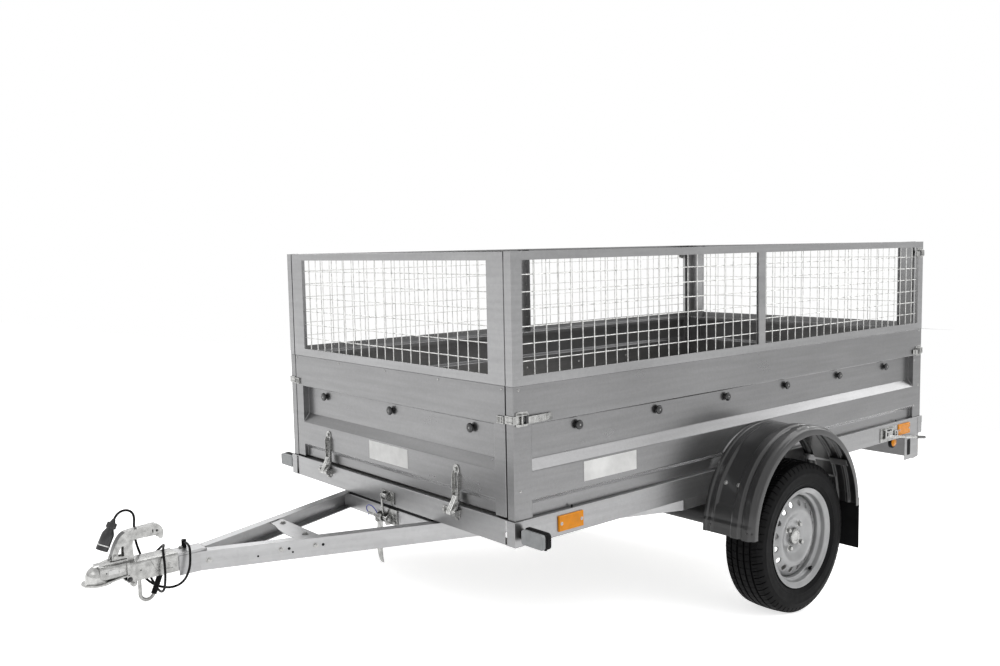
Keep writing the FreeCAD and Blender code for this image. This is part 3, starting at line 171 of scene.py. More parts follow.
def world():
    """White where it is seen or mirrored, and a soft gradient from the horizon up that lights the object."""
    sky = bpy.data.worlds.new("studio")
    bpy.context.scene.world = sky
    tree = nodes_of(sky)
    split = new_node(tree, "SeparateXYZ", {0: new_node(tree, "TexCoord").outputs["Generated"]})
    white = new_node(tree, "Background", {"Color": (1, 1, 1, 1), "Strength": 1.0})
    soft = new_node(tree, "Background", {"Color": greys(tree, split.outputs["Z"], SKY), "Strength": 1.0})
    mix = new_node(tree, "MixShader", {0: shown(tree), 1: soft.outputs[0], 2: white.outputs[0]})
    new_node(tree, "OutputWorld", {"Surface": mix.outputs[0]})


def softbox(name, place, target, size, power):
    """A rectangular lamp that the camera doesn't see."""
    data = bpy.data.lights.new(name, "AREA")
    data.shape, data.energy = "RECTANGLE", power
    data.size, data.size_y = size
    lamp = place_object(name, data)
    lamp.visible_camera = False
    lamp.location = place
    lamp.rotation_euler = (Vector(target) - Vector(place)).to_track_quat("-Z", "Y").to_euler()


def studio():
    floor()
    world()
    softbox("lamp_top", (-2.2, 1.2, 4.2), (-0.3, 0.2, 0.5), (5.5, 2.0), 70)
    softbox("lamp_back", (-5.2, 1.7, 3.7), (-0.8, 0.5, 0.6), (2.8, 1.5), 44)
    softbox("lamp_right", (0.8, -3.6, 3.3), (0.3, 0, 0.5), (3.4, 1.6), 55)
    softbox("lamp_front", (4.6, 0.6, 2.6), (0.6, 0, 0.5), (2.4, 1.6), 10)
    bpy.context.scene.view_settings.view_transform = "Standard"


# Materials

# The colour inputs of a Mix node, which share their names with its other inputs
COLOUR_A, COLOUR_B = 6, 7


class Look:
    """A node material: a Principled shader whose colour, roughness and relief vary over the surface."""

    def __init__(self, name, colour, roughness, metallic=0.0, specular=0.5, coat=0.0):
        self.material = bpy.data.materials.new(name)
        self.tree = nodes_of(self.material)
        self.colour = (*colour, 1)
        self.shader = self.node("BsdfPrincipled", {
            "Base Color": self.colour, "Roughness": roughness, "Metallic": metallic,
            "Specular IOR Level": specular, "Coat Weight": coat})
        self.node("OutputMaterial", {"Surface": self.shader.outputs[0]})
        coords, turn = self.node("TexCoord"), LEVEL.inverted().to_euler()
        self.place = self.node("Mapping", {"Vector": coords.outputs["Object"], "Rotation": turn}).outputs[0]

    def node(self, kind, inputs=(), **settings):
        return new_node(self.tree, kind, inputs, **settings)

    def shade(self, name, value):
        self.tree.links.new(value, self.shader.inputs[name])

    def mapped(self, scale=(1, 1, 1)):
        return self.node("Mapping", {"Vector": self.place, "Scale": scale}).outputs[0]

    def noise(self, scale, detail, stretch=(1, 1, 1), rough=0.5):
        return self.node("TexNoise", {"Vector": self.mapped(stretch), "Scale": scale, "Detail": detail,
                                      "Roughness": rough}).outputs["Fac"]

    def cells(self, scale):
        return self.node("TexVoronoi", {"Vector": self.mapped(), "Scale": scale}).outputs

    def tint(self, value, *stops):
        """The base colour, multiplied by a grey that follows a value."""
        grey = greys(self.tree, value, stops)
        mix = self.node("Mix", {"Factor": 1.0, COLOUR_A: self.colour, COLOUR_B: grey}, data_type="RGBA",
                        blend_type="MULTIPLY")
        self.colour = mix.outputs[2]
        self.shade("Base Color", self.colour)

    def vary(self, value, low, high):
        """Roughness between two limits by a value."""
        limits = self.node("MapRange", {"Value": value, "To Min": low, "To Max": high})
        self.shade("Roughness", limits.outputs[0])

    def bump(self, value, depth, strength):
        relief = self.node("Bump", {"Height": value, "Distance": depth, "Strength": strength})
        self.shade("Normal", relief.outputs[0])


def galvanised(name, tone, spangle, roughness):
    """Hot-dip galvanised sheet: zinc crystals of slightly different grey, faint stains and rolling marks."""
    look = Look(name, (tone, tone, tone * 1.01), roughness, metallic=0.9)
    look.tint(look.cells(spangle)["Color"], (0.0, 0.96), (1.0, 1.04))
    look.tint(look.noise(2.6, 5.0, (0.6, 0.6, 1.6)), (0.3, 0.9), (0.7, 1.05))
    look.tint(look.noise(60.0, 4.0, (0.05, 0.05, 1)), (0.35, 0.94), (0.65, 1.04))
    look.vary(look.noise(6.0, 6.0, (0.5, 0.5, 1.4), rough=0.6), roughness - 0.06, roughness + 0.1)
    look.bump(look.noise(300.0, 2.0, (0.05, 0.05, 1)), 0.0002, 0.06)
    return look.material


def zinc(name, tone, roughness):
    """Bright zinc plate on small parts."""
    look = Look(name, (tone, tone, tone * 0.98), roughness, metallic=0.95)
    look.tint(look.noise(70.0, 4.0), (0.3, 0.68), (0.7, 1.14))
    look.vary(look.noise(160.0, 4.0), roughness - 0.08, roughness + 0.15)
    look.bump(look.noise(600.0, 2.0), 0.0002, 0.2)
    return look.material


def paint(name, colour, roughness, metallic=0.0, coat=0.0):
    """Sprayed paint with a fine grain."""
    look = Look(name, colour, roughness, metallic=metallic, coat=coat)
    look.tint(look.noise(14.0, 5.0), (0.3, 0.85), (0.7, 1.15))
    look.vary(look.noise(30.0, 5.0), roughness - 0.08, roughness + 0.1)
    look.bump(look.noise(380.0, 3.0), 0.0003, 0.35)
    return look.material


def moulded(name, colour, roughness):
    """Grained black plastic with a soft sheen and a little dust."""
    look = Look(name, colour, roughness, coat=0.3)
    look.tint(look.noise(7.0, 6.0), (0.35, 0.8), (0.75, 1.35))
    look.vary(look.noise(40.0, 5.0), roughness - 0.04, roughness + 0.1)
    look.bump(look.cells(900.0)["Distance"], 0.0003, 0.07)
    return look.material


def rubber(name, colour, roughness):
    """Matt black rubber, greyed in patches."""
    look = Look(name, colour, roughness, specular=0.1)
    look.tint(look.noise(24.0, 6.0), (0.3, 0.75), (0.75, 1.5))
    look.vary(look.noise(50.0, 5.0), roughness - 0.1, roughness + 0.12)
    look.bump(look.noise(900.0, 3.0), 0.0004, 0.4)
    return look.material


def plywood(name):
    """Grey film-faced plywood with a fine pressed net and worn patches."""
    look = Look(name, (0.5, 0.485, 0.46), 0.4)
    look.tint(look.noise(5.0, 6.0), (0.3, 0.75), (0.7, 1.3))
    look.tint(look.noise(30.0, 4.0, (0.15, 1, 1)), (0.35, 0.9), (0.65, 1.1))
    look.vary(look.noise(12.0, 5.0), 0.35, 0.6)
    look.bump(look.cells(210.0)["Distance"], 0.0008, 0.5)
    return look.material


def lens(name, colour):
    """Moulded lamp lens with fine vertical prisms behind a smooth face."""
    look = Look(name, colour, 0.16, specular=0.2)
    look.tint(look.noise(40.0, 3.0), (0.3, 0.9), (0.7, 1.12))
    prisms = look.node("TexWave", {"Vector": look.mapped(), "Scale": 260.0})
    look.bump(prisms.outputs["Fac"], 0.0004, 0.4)
    look.vary(look.noise(80.0, 3.0), 0.1, 0.25)
    return look.material


def materials():
    """Every finish by its short name."""
    return {
        "sheet": galvanised("galvanised_sheet", 0.225, 150.0, 0.28),
        "frame": galvanised("galvanised_frame", 0.305, 90.0, 0.3),
        # A painted highlight: zinc far brighter than the sheet, for the strips on the walls' lower fold that
        # stand in for the reflection of a brightly lit floor.
        "fold": galvanised("galvanised_painted_highlight", 0.82, 150.0, 0.22),
        "beam": galvanised("galvanised_beam", 0.42, 70.0, 0.34),
        "zinc": zinc("zinc_bright", 0.38, 0.24),
        "polished": zinc("zinc_polished", 0.46, 0.14),
        "wire": zinc("zinc_wire", 0.66, 0.4),
        "rim": paint("wheel_silver", (0.32, 0.322, 0.325), 0.36, metallic=0.4, coat=0.1),
        "axle": paint("axle_black", (0.006, 0.006, 0.007), 0.5),
        "tyre": rubber("tyre_rubber", (0.003, 0.003, 0.0033), 0.6),
        "rubber": rubber("black_rubber", (0.005, 0.005, 0.0055), 0.55),
        "cable": rubber("cable_black", (0.006, 0.006, 0.0065), 0.42),
        "fender": moulded("fender_plastic", (0.016, 0.016, 0.0165), 0.32),
        "plastic": moulded("black_plastic", (0.006, 0.006, 0.007), 0.32),
        "plywood": plywood("plywood_film"),
        "amber": lens("amber_lens", (0.78, 0.27, 0.002)),
        "clear": lens("clear_lens", (0.3, 0.31, 0.315)),
        "red": lens("red_lens", (0.5, 0.012, 0.01)),
        "blue": paint("clip_blue", (0.05, 0.06, 0.36), 0.4),
        "white": paint("plate_white", (0.74, 0.74, 0.73), 0.35),
    }


# The finish of the solids that stay shown, and how far their edges are rounded, in millimetres
NODE_LOOKS = {node: (look, width) for look, width, group in [
    ("frame", 1.0, "pivot_ears fender_brackets"), ("frame", 1.5, "cross_members"),
    ("frame", 2.0, "side_sill end_sills"), ("sheet", 1.0, "lamp_board"),
    ("sheet", 2.2, "side_wall front_panel tail_panel"), ("beam", 2.0, "drawbar"), ("beam", 3.0, "tongue"),
    ("beam", 3.4, "drawbar_crossbar"), ("zinc", 0, "support_loop"), ("zinc", 0.8, "gate_hinges"),
    ("rubber", 1.0, "rubber_pad loop_sleeve"), ("rubber", 1.5, "cable_gland"), ("axle", 1.0, "axle_tube"),
    ("axle", 2.0, "axle_mounts"), ("axle", 3.0, "axle_arms"), ("plywood", 0.5, "floor_panel"),
    ("amber", 0.6, "side_reflectors"), ("white", 0.5, "number_plate")] for node in group.split()}

# The angle between faces past which an edge is rounded and kept hard, and the gap that is welded shut
CREASE, WELD_GAP = 32.0, 0.00001


def soften(obj, width, angle=CREASE, segments=2):
    """Rounded edges and smooth shading between them."""
    if width:
        weld = obj.modifiers.new("weld", "WELD")
        weld.merge_threshold = WELD_GAP
        bevel = obj.modifiers.new("edges", "BEVEL")
        bevel.width, bevel.segments = width * 0.001, segments
        bevel.limit_method, bevel.angle_limit = "ANGLE", math.radians(angle)
        bevel.harden_normals = True


def smooth_shade(mesh, angle):
    """Smooth faces, with the edges sharper than the angle kept hard."""
    bm = bmesh.new()
    bm.from_mesh(mesh)
    for face in bm.faces:
        face.smooth = True
    for edge in bm.edges:
        edge.smooth = len(edge.link_faces) == 2 and edge.calc_face_angle(0) < math.radians(angle)
    bm.to_mesh(mesh)
    bm.free()


def dress_nodes():
    """The finish and the edges of the carried-over solids."""
    for name, obj in frame["nodes"].items():
        base = name.removesuffix("_left").removesuffix("_right")
        if base not in NODE_LOOKS:
            continue
        look, width = NODE_LOOKS[base]
        obj.data.materials.clear()
        obj.data.materials.append(looks[look])
        normals = obj.data.attributes.get("custom_normal")
        if width and normals:
            obj.data.attributes.remove(normals)
        soften(obj, width)


# Building blocks, in level millimetres

def shift(x, y, z):
    """The matrix of a plain move."""
    return Matrix.Translation((x, y, z))


MIRROR = Matrix.Scale(-1, 4, Y)
REAR = shift(-LENGTH, 0, 0) @ Matrix.Rotation(math.pi, 4, "Z")
FRONT = Matrix.Rotation(-math.pi / 2, 4, "Z") @ shift(-GATE_HALF, 0, 0)
LEFT = shift(-LENGTH, HALF, 0)
HERE = Matrix()


def circle(centre, side, up, radius, sides):
    """Points round a centre, in the plane of two directions."""
    turns = [2 * math.pi * i / sides for i in range(sides)]
    return [centre + (side * math.cos(t) + up * math.sin(t)) * radius for t in turns]


def band(bm, a, b):
    """Faces between two rings of vertices."""
    for i in range(len(a)):
        j = (i + 1) % len(a)
        bm.faces.new((a[i], a[j], b[j], b[i]))


def polar(centre, radius, out, angle):
    """A place round the Y axis through a centre."""
    x, y, z = centre
    return (x + radius * math.cos(angle), y + out, z + radius * math.sin(angle))


class Shape:
    """A mesh put together from closed forms."""

    def __init__(self):
        self.bm = bmesh.new()

    def skin(self, rings, loop=False):
        """Faces from ring to ring, closed at both ends unless the rings join up."""
        rows = [[self.bm.verts.new(p) for p in ring] for ring in rings]
        for a, b in list(zip(rows, rows[1:])) + ([(rows[-1], rows[0])] if loop else []):
            band(self.bm, a, b)
        if not loop:
            self.bm.faces.new(rows[0][::-1])
            self.bm.faces.new(rows[-1])
        return self

    def box(self, x0, x1, y0, y1, z0, z1):
        ring = [(y0, z0), (y1, z0), (y1, z1), (y0, z1)]
        return self.skin([[(x, y, z) for y, z in ring] for x in (x0, x1)])

    def prism(self, outline, push):
        """A flat outline pushed along a vector."""
        return self.skin([outline, [Vector(p) + Vector(push) for p in outline]])

    def turned(self, start, axis, profile, sides):
        """A round form on an axis, from (distance along it, radius) pairs."""
        axis = Vector(axis).normalized()
        side = axis.orthogonal().normalized()
        up = axis.cross(side)
        return self.skin([circle(Vector(start) + axis * along, side, up, max(radius, 0.05), sides)
                          for along, radius in profile])

    def rod(self, a, b, radius, sides=20):
        along = Vector(b) - Vector(a)
        edge = min(radius * 0.12, along.length * 0.1)
        return self.turned(a, along, [(0, radius - edge), (edge, radius), (along.length - edge, radius),
                                      (along.length, radius - edge)], sides)

    def tube(self, points, radius, sides):
        """A bar along points."""
        points = [Vector(p) for p in points]
        rings, side = [], None
        for i, point in enumerate(points):
            axis = (points[min(i + 1, len(points) - 1)] - points[max(i - 1, 0)]).normalized()
            side = axis.orthogonal() if side is None else side - axis * side.dot(axis)
            side = side.normalized()
            rings.append(circle(point, side, axis.cross(side), radius, sides))
        return self.skin(rings)

    def lathe(self, centre, profile, steps):
        """A closed section of (radius, y) points turned about the Y axis through a centre."""
        angles = [math.radians(360.0 * i / steps) for i in range(steps)]
        return self.skin([[polar(centre, r, y, angle) for r, y in profile] for angle in angles], True)

    def plate(self, xs, zs, holes, front, back):
        """A plate in the XZ plane on grid lines, open in the cells that are named."""
        bm = self.bm
        cells = {(i, k) for i in range(len(xs) - 1) for k in range(len(zs) - 1)} - set(holes)
        corners = {}

        def corner(i, k, y):
            if (i, k, y) not in corners:
                corners[i, k, y] = bm.verts.new((xs[i], y, zs[k]))
            return corners[i, k, y]

        for i, k in sorted(cells):
            square = [(i, k), (i + 1, k), (i + 1, k + 1), (i, k + 1)]
            beside = [(i, k - 1), (i + 1, k), (i, k + 1), (i - 1, k)]
            for y in (front, back):
                bm.faces.new([corner(*c, y) for c in square])
            for side in range(4):
                if beside[side] not in cells:
                    a, b = square[side], square[(side + 1) % 4]
                    bm.faces.new([corner(*a, front), corner(*b, front), corner(*b, back), corner(*a, back)])
        return self

    def bolt(self, place, axis, radius, height):
        """A hexagon head on a washer."""
        place, axis, washer = Vector(place), Vector(axis).normalized(), radius * 1.5
        self.turned(place, axis, [(0, washer), (height * 0.18, washer)], 20)
        return self.turned(place + axis * height * 0.18, axis,
                           [(0, radius), (height * 0.7, radius), (height * 0.82, radius * 0.84)], 6)

    def dome(self, place, axis, radius, height):
        """A round rivet or screw head."""
        steps = [(0, 1), (0.3, 0.97), (0.6, 0.83), (0.85, 0.56), (0.97, 0.26), (1, 0)]
        return self.turned(place, axis, [(height * a, radius * r) for a, r in steps], 18)

    def add(self, other, place=HERE):
        """The shape with a copy of another one added at a place."""
        mesh = bpy.data.meshes.new("copied")
        other.bm.to_mesh(mesh)
        mesh.transform(place)
        self.bm.from_mesh(mesh)
        bpy.data.meshes.remove(mesh)
        return self

    def moved(self, place):
        bmesh.ops.transform(self.bm, matrix=place, verts=self.bm.verts)
        return self

    def both(self, place=MIRROR):
        """The shape and its copy on the other side, or at another place."""
        return self.add(self, place)

    def minus(self, tool):
        """The shape with another taken out of it."""
        meshes = []
        for shape in (self, tool):
            bmesh.ops.recalc_face_normals(shape.bm, faces=shape.bm.faces)
            mesh = bpy.data.meshes.new("cutting")
            shape.bm.to_mesh(mesh)
            meshes.append(mesh)
        whole, cutter = [place_object("cutting", mesh) for mesh in meshes]
        cut = whole.modifiers.new("cut", "BOOLEAN")
        cut.operation, cut.solver, cut.object = "DIFFERENCE", "EXACT", cutter
        done = bpy.data.meshes.new_from_object(whole.evaluated_get(bpy.context.evaluated_depsgraph_get()))
        self.bm.clear()
        self.bm.from_mesh(done)
        for obj in (whole, cutter):
            bpy.data.objects.remove(obj)
        for mesh in meshes + [done]:
            bpy.data.meshes.remove(mesh)
        return self


def arc(centre, radius, start, stop, steps, plane="xz"):
    """Points on an arc in degrees, in the XZ or YZ plane."""
    points = []
    for i in range(steps + 1):
        angle = math.radians(start + (stop - start) * i / steps)
        a, b = radius * math.cos(angle), radius * math.sin(angle)
        points.append(Vector(centre) + Vector((a, 0, b) if plane == "xz" else (0, a, b)))
    return points


def bent(points, radius):
    """A route with its corners rounded in six steps."""
    points = [Vector(p) for p in points]
    route = [points[0]]
    for before, here, after in zip(points, points[1:], points[2:]):
        back, ahead = (before - here), (after - here)
        cut = min(radius, back.length * 0.45, ahead.length * 0.45)
        a, b = here + back.normalized() * cut, here + ahead.normalized() * cut
        for i in range(7):
            t = i / 6
            route.append(a * (1 - t) ** 2 + here * 2 * t * (1 - t) + b * t ** 2)
    return route + [points[-1]]


def piece(name, shape, look, body, replaces=(), bevel=0.0, angle=CREASE, segments=2):
    """A shape as a finished object that rides on a body."""
    bmesh.ops.recalc_face_normals(shape.bm, faces=shape.bm.faces)
    mesh = bpy.data.meshes.new(name)
    shape.bm.to_mesh(mesh)
    shape.bm.free()
    mesh.transform(LEVEL @ Matrix.Scale(0.001, 4))
    smooth_shade(mesh, angle)
    obj = place_object(name, mesh)
    mesh.materials.append(looks[look])
    soften(obj, bevel, angle, segments)
    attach(obj, body)
    if replaces:
        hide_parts(*replaces)
    return obj


# Mesh panels, along X from zero with their face on y = 0 and their foot on z = 0

MESH_HEIGHT, FOOT_RAIL, HEAD_RAIL = MESH_TOP - WALL_TOP, 28.0, 25.0
UPRIGHT_HALF, SHEET, ANGLE = 20.0, 3.0, 30.0
WIRE, WIRE_PITCH, WIRE_LAP = 1.6, 50.0, 8.0


def windows(length, post, uprights):
    """Where the posts, openings and uprights of a panel start and stop."""
    stops = [0.0, post]
    for middle in uprights:
        stops += [middle - UPRIGHT_HALF, middle + UPRIGHT_HALF]
    return stops + [length - post, length]


def mesh_frame(length, post, uprights):
    """Angle sections round a mesh panel, with their uprights."""
    stops, top = windows(length, post, uprights), MESH_HEIGHT
    shape = Shape().plate(stops, [0.0, FOOT_RAIL, top - HEAD_RAIL, top],
                          [(i, 1) for i in range(1, len(stops) - 1, 2)], 0.0, -SHEET)
    for z in (0.0, top - SHEET):
        shape.box(0, length, -ANGLE, -SHEET, z, z + SHEET)
    for x in (0.0, length - SHEET):
        shape.box(x, x + SHEET, -ANGLE, -SHEET, SHEET, top - SHEET)
    for middle in uprights:
        shape.box(middle - UPRIGHT_HALF, middle - UPRIGHT_HALF + SHEET, -ANGLE, -SHEET, SHEET, top - SHEET)
        shape.box(middle + UPRIGHT_HALF - 8, middle + UPRIGHT_HALF, -12, -9.6, SHEET, top - SHEET)
    for x in (post - SHEET, length - post):
        shape.box(x, x + SHEET, -14, -SHEET, SHEET, top - SHEET)
    return shape


def spread(low, high):
    """The places of the wires between two edges."""
    count = int((high - low) / WIRE_PITCH)
    first = (low + high) / 2 - (count - 1) * WIRE_PITCH / 2
    return [first + i * WIRE_PITCH for i in range(count)]


def mesh_wires(length, post, uprights):
    """The welded grid: upright wires behind the frame's face, level wires behind them."""
    stops, shape = windows(length, post, uprights), Shape()
    low, high = FOOT_RAIL, MESH_HEIGHT - HEAD_RAIL
    for x0, x1 in zip(stops[1::2], stops[2::2]):
        for x in spread(x0, x1):
            shape.rod((x, -SHEET - WIRE, low - WIRE_LAP), (x, -SHEET - WIRE, high + WIRE_LAP), WIRE, 8)
        for z in spread(low, high):
            shape.rod((x0 - WIRE_LAP, -SHEET - 2.9 * WIRE, z), (x1 + WIRE_LAP, -SHEET - 2.9 * WIRE, z), WIRE, 8)
    return shape


def mesh_panels():
    """The frames and grids of the four mesh panels."""
    lift = shift(0, 0, WALL_TOP)
    side = (LENGTH, 41.0, [LENGTH / 2])
    gate = (2 * GATE_HALF, 75.0, [])
    rows = [("side_mesh_left", side, LEFT, "bed"), ("side_mesh_right", side, MIRROR @ LEFT, "bed"),
            ("front_mesh", gate, FRONT, "front_gate"), ("tail_mesh", gate, REAR @ FRONT, "tailgate")]
    for node, sizes, place, body in rows:
        piece(node + "_frame", mesh_frame(*sizes).moved(place @ lift), "frame", body, [node], 1.2)
        piece(node + "_grid", mesh_wires(*sizes).moved(place @ lift), "wire", body)


# Wheels, about the left wheel's centre

TREAD_PITCHES = 64
# How far along its pitch each cut lies, and whether it is a groove (1) or a sipe (2)
TREAD_STEPS = [(0.0, 0), (0.03, 1), (0.15, 1), (0.18, 0), (0.49, 0), (0.505, 2), (0.555, 2), (0.57, 0)]
# Half the tread across: distance from the middle, and 0 plain, 1 long groove, 2 rib, 3 shoulder block
TREAD_LINES = [(0.0, 2), (9.5, 2), (10.3, 1), (16.2, 1), (17.0, 2), (26.0, 2), (34.6, 2), (35.4, 1), (41.2, 1),
               (42.0, 3), (50.0, 3), (58.0, 3), (62.5, 3)]
SHOULDER = [(266.6, 66.0, 5.0), (262.6, 69.3, 4.4), (257.4, 72.2, 3.4), (252.0, 74.4, 1.6), (249.5, 75.2, 0.0)]
FLANK = [(243.0, 76.7), (236.4, 77.9), (235.0, 78.5), (232.6, 78.5), (231.2, 78.0), (220.0, 78.4),
         (209.0, 77.6), (203.4, 76.4), (202.2, 77.0), (199.6, 76.4), (198.0, 74.8), (192.0, 72.2),
         (187.0, 69.2), (183.6, 66.6), (181.6, 64.6), (174.0, 62.6), (166.8, 61.0)]


def tyre_shape():
    """The tyre, its tread cut by long grooves, cross grooves and sipes that sweep back to the shoulders."""
    def section(kind):
        points = []
        for y, zone in TREAD_LINES:
            depth = 6.5 if zone == 1 else {1: 6.0 if zone == 3 else 0.0, 2: 3.4}.get(kind, 0.0)
            points.append((274.0 - 4.2 * (y / 62.5) ** 2.4 - depth, y))
        for r, y, deep in SHOULDER:
            depth = deep if kind == 1 else 0.0
            points.append((r - depth * 0.85, y - depth * 0.5))
        points += FLANK
        return flipped(points[1:]) + points

    sections = {kind: section(kind) for kind in (0, 1, 2)}
    sweep = [0.55 * min(abs(y) / 66.0, 1.0) ** 1.6 for r, y in sections[0]]
    return Shape().skin([[polar(HUB, r, y, 2 * math.pi * (i + share + lag) / TREAD_PITCHES)
                          for (r, y), lag in zip(sections[kind], sweep)]
                         for i in range(TREAD_PITCHES) for share, kind in TREAD_STEPS], True)


LIP_FACE = [(181.2, 69.4), (180.6, 70.7), (178.6, 71.0), (176.0, 70.0), (172.6, 67.4), (168.6, 65.6)]
LIP_BACK = [(165.6, 59.0), (166.2, 61.6), (171.0, 63.8), (175.4, 66.0), (178.8, 67.6)]
RIM_FACE = [(164.4, 64.6), (161.6, 62.8), (160.6, 59.6), (160.4, 47.0), (159.4, 43.6), (156.6, 41.4),
            (153.0, 40.2), (150.4, 38.2), (149.6, 34.6), (149.4, -8.0), (152.5, -16.0), (158.5, -24.0),
            (160.4, -30.0), (160.6, -60.0), (162.0, -63.4)]
RIM_BACK = [(163.6, -28.0), (161.4, -21.4), (155.6, -13.6), (152.8, -7.0), (153.0, 34.6), (154.6, 37.2),
            (158.6, 38.4), (162.6, 41.0), (163.6, 46.0)]
DISC = [(29.5, 30.0), (29.5, 34.0), (31.0, 35.4), (60.0, 35.4), (66.0, 36.2), (73.0, 39.0), (81.0, 43.4),
        (88.0, 46.4), (95.0, 47.6), (102.0, 47.0), (107.0, 45.6), (135.0, 33.2), (140.0, 30.4),
        (144.5, 26.6), (147.6, 20.0), (149.2, 10.0)]
DISC_SHEET, VENTS, VENT_HOLE, VENT_CONE = 3.6, 16, 10.4, ((107.0, 45.6), (135.0, 33.2))
WHEEL_BOLTS, BOLT_R = 4, 49.0


def flipped(section):
    """The other side's half of a section of (radius, y) points, the other way round."""
    return [(r, -y) for r, y in section[::-1]]


def around(radius, out, degrees):
    """A place on the left wheel: distance from its axis, distance outward, and angle."""
    return Vector(polar(HUB, radius, out, math.radians(degrees)))


def disc_skin(shape, drop):
    """One skin of the disc. Returns its inner edge, its outer edge and the edges of its holes."""
    steps, bm = VENTS * 8, shape.bm
    (low, foot), (high, head) = VENT_CONE
    half, middle, reach = math.pi / VENTS, (low + high) / 2, (high - low) / 2
    grid = [(-1 + i / 4, -1) for i in range(8)] + [(1, -1 + i / 3) for i in range(6)]
    grid += [(-u, -v) for u, v in grid]

    def place(r, turn, out):
        return bm.verts.new(polar(HUB, r, out - drop, turn))

    def join(rings):
        for a, b in zip(rings, rings[1:]):
            band(bm, a, b)
        return rings

    inner = join([[place(r, 2 * math.pi * i / steps, y) for i in range(steps)] for r, y in DISC if r <= low])
    outer = join([[place(r, 2 * math.pi * i / steps, y) for i in range(steps)] for r, y in DISC if r >= high])
    holes = []
    for sector in range(VENTS):
        turn, rings = (2 * sector + 1) * half, []
        for share, dip in ((0.0, 0.0), (0.5, 0.0), (0.8, 0.15), (0.93, 0.7), (1.0, 1.8)):
            ring = []
            for u, v in grid:
                way = math.atan2(v * reach, u * half * middle)
                across = u * half * (1 - share) + VENT_HOLE * math.cos(way) / middle * share
                r = middle + v * reach * (1 - share) + VENT_HOLE * math.sin(way) * share
                ring.append(place(r, turn + across, foot + (head - foot) * (r - low) / (high - low) - dip))
            rings.append(ring)
        holes.append(join(rings)[-1])
    return [inner[0], outer[-1]] + holes


def rim_shape():
    """The steel rim and its pressed disc with sixteen vents."""
    shape = Shape()
    for a, b in zip(disc_skin(shape, 0.0), disc_skin(shape, DISC_SHEET)):
        band(shape.bm, a, b)
    bmesh.ops.remove_doubles(shape.bm, verts=shape.bm.verts, dist=0.02)
    section = LIP_FACE + RIM_FACE + flipped(LIP_FACE) + flipped(LIP_BACK) + RIM_BACK + LIP_BACK
    return shape.add(Shape().lathe(HUB, section, 144))


def hub_shape():
    """The hub behind the disc, its cap, the wheel bolts on their seats."""
    profile = [(20.4, -42.0), (54.0, -42.0), (56.0, -40.0), (56.0, 29.0), (54.0, 31.0), (20.4, 31.0)]
    shape = Shape().lathe(HUB, profile, 48)
    cap = [(0, 28.6), (6, 28.6), (9, 27.4), (11, 24), (11.6, 18), (10.6, 15.5), (10.8, 8), (11.4, 0)]
    shape.turned(around(0, 34.0, 0), Y, cap, 40)
    for i in range(WHEEL_BOLTS):
        seat = around(BOLT_R, 35.0, 90 / 4 + i * 360 / WHEEL_BOLTS + 14)
        shape.turned(seat, Y, [(0, 13), (1.6, 11.4), (2.2, 10.4)], 24)
        shape.turned(seat + Vector((0, 2, 0)), Y, [(0, 8.6), (8.5, 8.6), (10.6, 7.0)], 6)
        shape.turned(seat + Vector((0, 12, 0)), Y, [(0, 5.4), (1.2, 4.6)], 16)
    return shape


def valve_shape():
    """The tyre valve between two vents."""
    foot, tip = around(158.0, 50.0, -121), around(139.0, 66.0, -119)
    profile = [(0, 6.4), (5, 6.2), (8, 4.4), (17, 4.0), (18, 3.5), (24, 3.5), (25, 2.6)]
    return Shape().turned(foot, tip - foot, profile, 18)


def wheels():
    """Tyre, rim, hub and valve on both sides."""
    for side, place in (("left", HERE), ("right", MIRROR)):
        body = "wheel_" + side
        piece("tyre_" + side + "_tread", tyre_shape().moved(place), "tyre", body, ["tyre_" + side], angle=24)
        piece("rim_" + side + "_vented", rim_shape().moved(place), "rim", body, ["rim_" + side], angle=44)
        piece("hub_" + side, hub_shape().moved(place), "zinc", body, bevel=0.5)
        piece("valve_" + side, valve_shape().moved(place), "rubber", body)


# Fenders

FENDER_IN, FENDER_WALL = 661.5, 4.0
# Across the fender, where each ridge starts, is full, begins to fall and stops, and how high it is
RIDGES = [(771.9, 780.1, 804.7, 810.8, 8.0), (819.0, 825.1, 845.6, 859.9, 8.0),
          (690.0, 696.0, 697.0, 703.0, 2.2)]
PANEL_Y, PANEL_ANGLE, PANEL_DEPTH = (703.0, 708.0, 774.0, 781.0), (16.6, 18.0, 44.0, 62.0), 4.5


def ease(value, start, stop):
    """From 0 to 1 between two values, level at both ends."""
    t = min(max((value - start) / (stop - start), 0.0), 1.0)
    return t * t * (3 - 2 * t)


def plateau(value, start, full, fall, stop):
    """One from full to fall, and eased down to zero at start and stop."""
    return ease(value, start, full) * (1 - ease(value, fall, stop))


def fender_radius(y, degrees):
    """The fender's outer surface: its rib, ridges, recessed panels, hems and pad."""
    r = FENDER_R + 4.0 * (1 - ease(y, FENDER_IN + 9, FENDER_IN + 15))
    for *edges, rise in RIDGES:
        r += rise * plateau(y, *edges)
    for angle in (degrees, 180 - degrees):
        r -= PANEL_DEPTH * plateau(y, *PANEL_Y) * plateau(angle, *PANEL_ANGLE)
        r += 2.4 * (1 - ease(angle, 7.0, 8.2)) * (1 - ease(y, 852, 860))
    return r + 2.6 * plateau(y, 820, 825, 852, 858) * plateau(degrees, 79, 80, 90, 91)


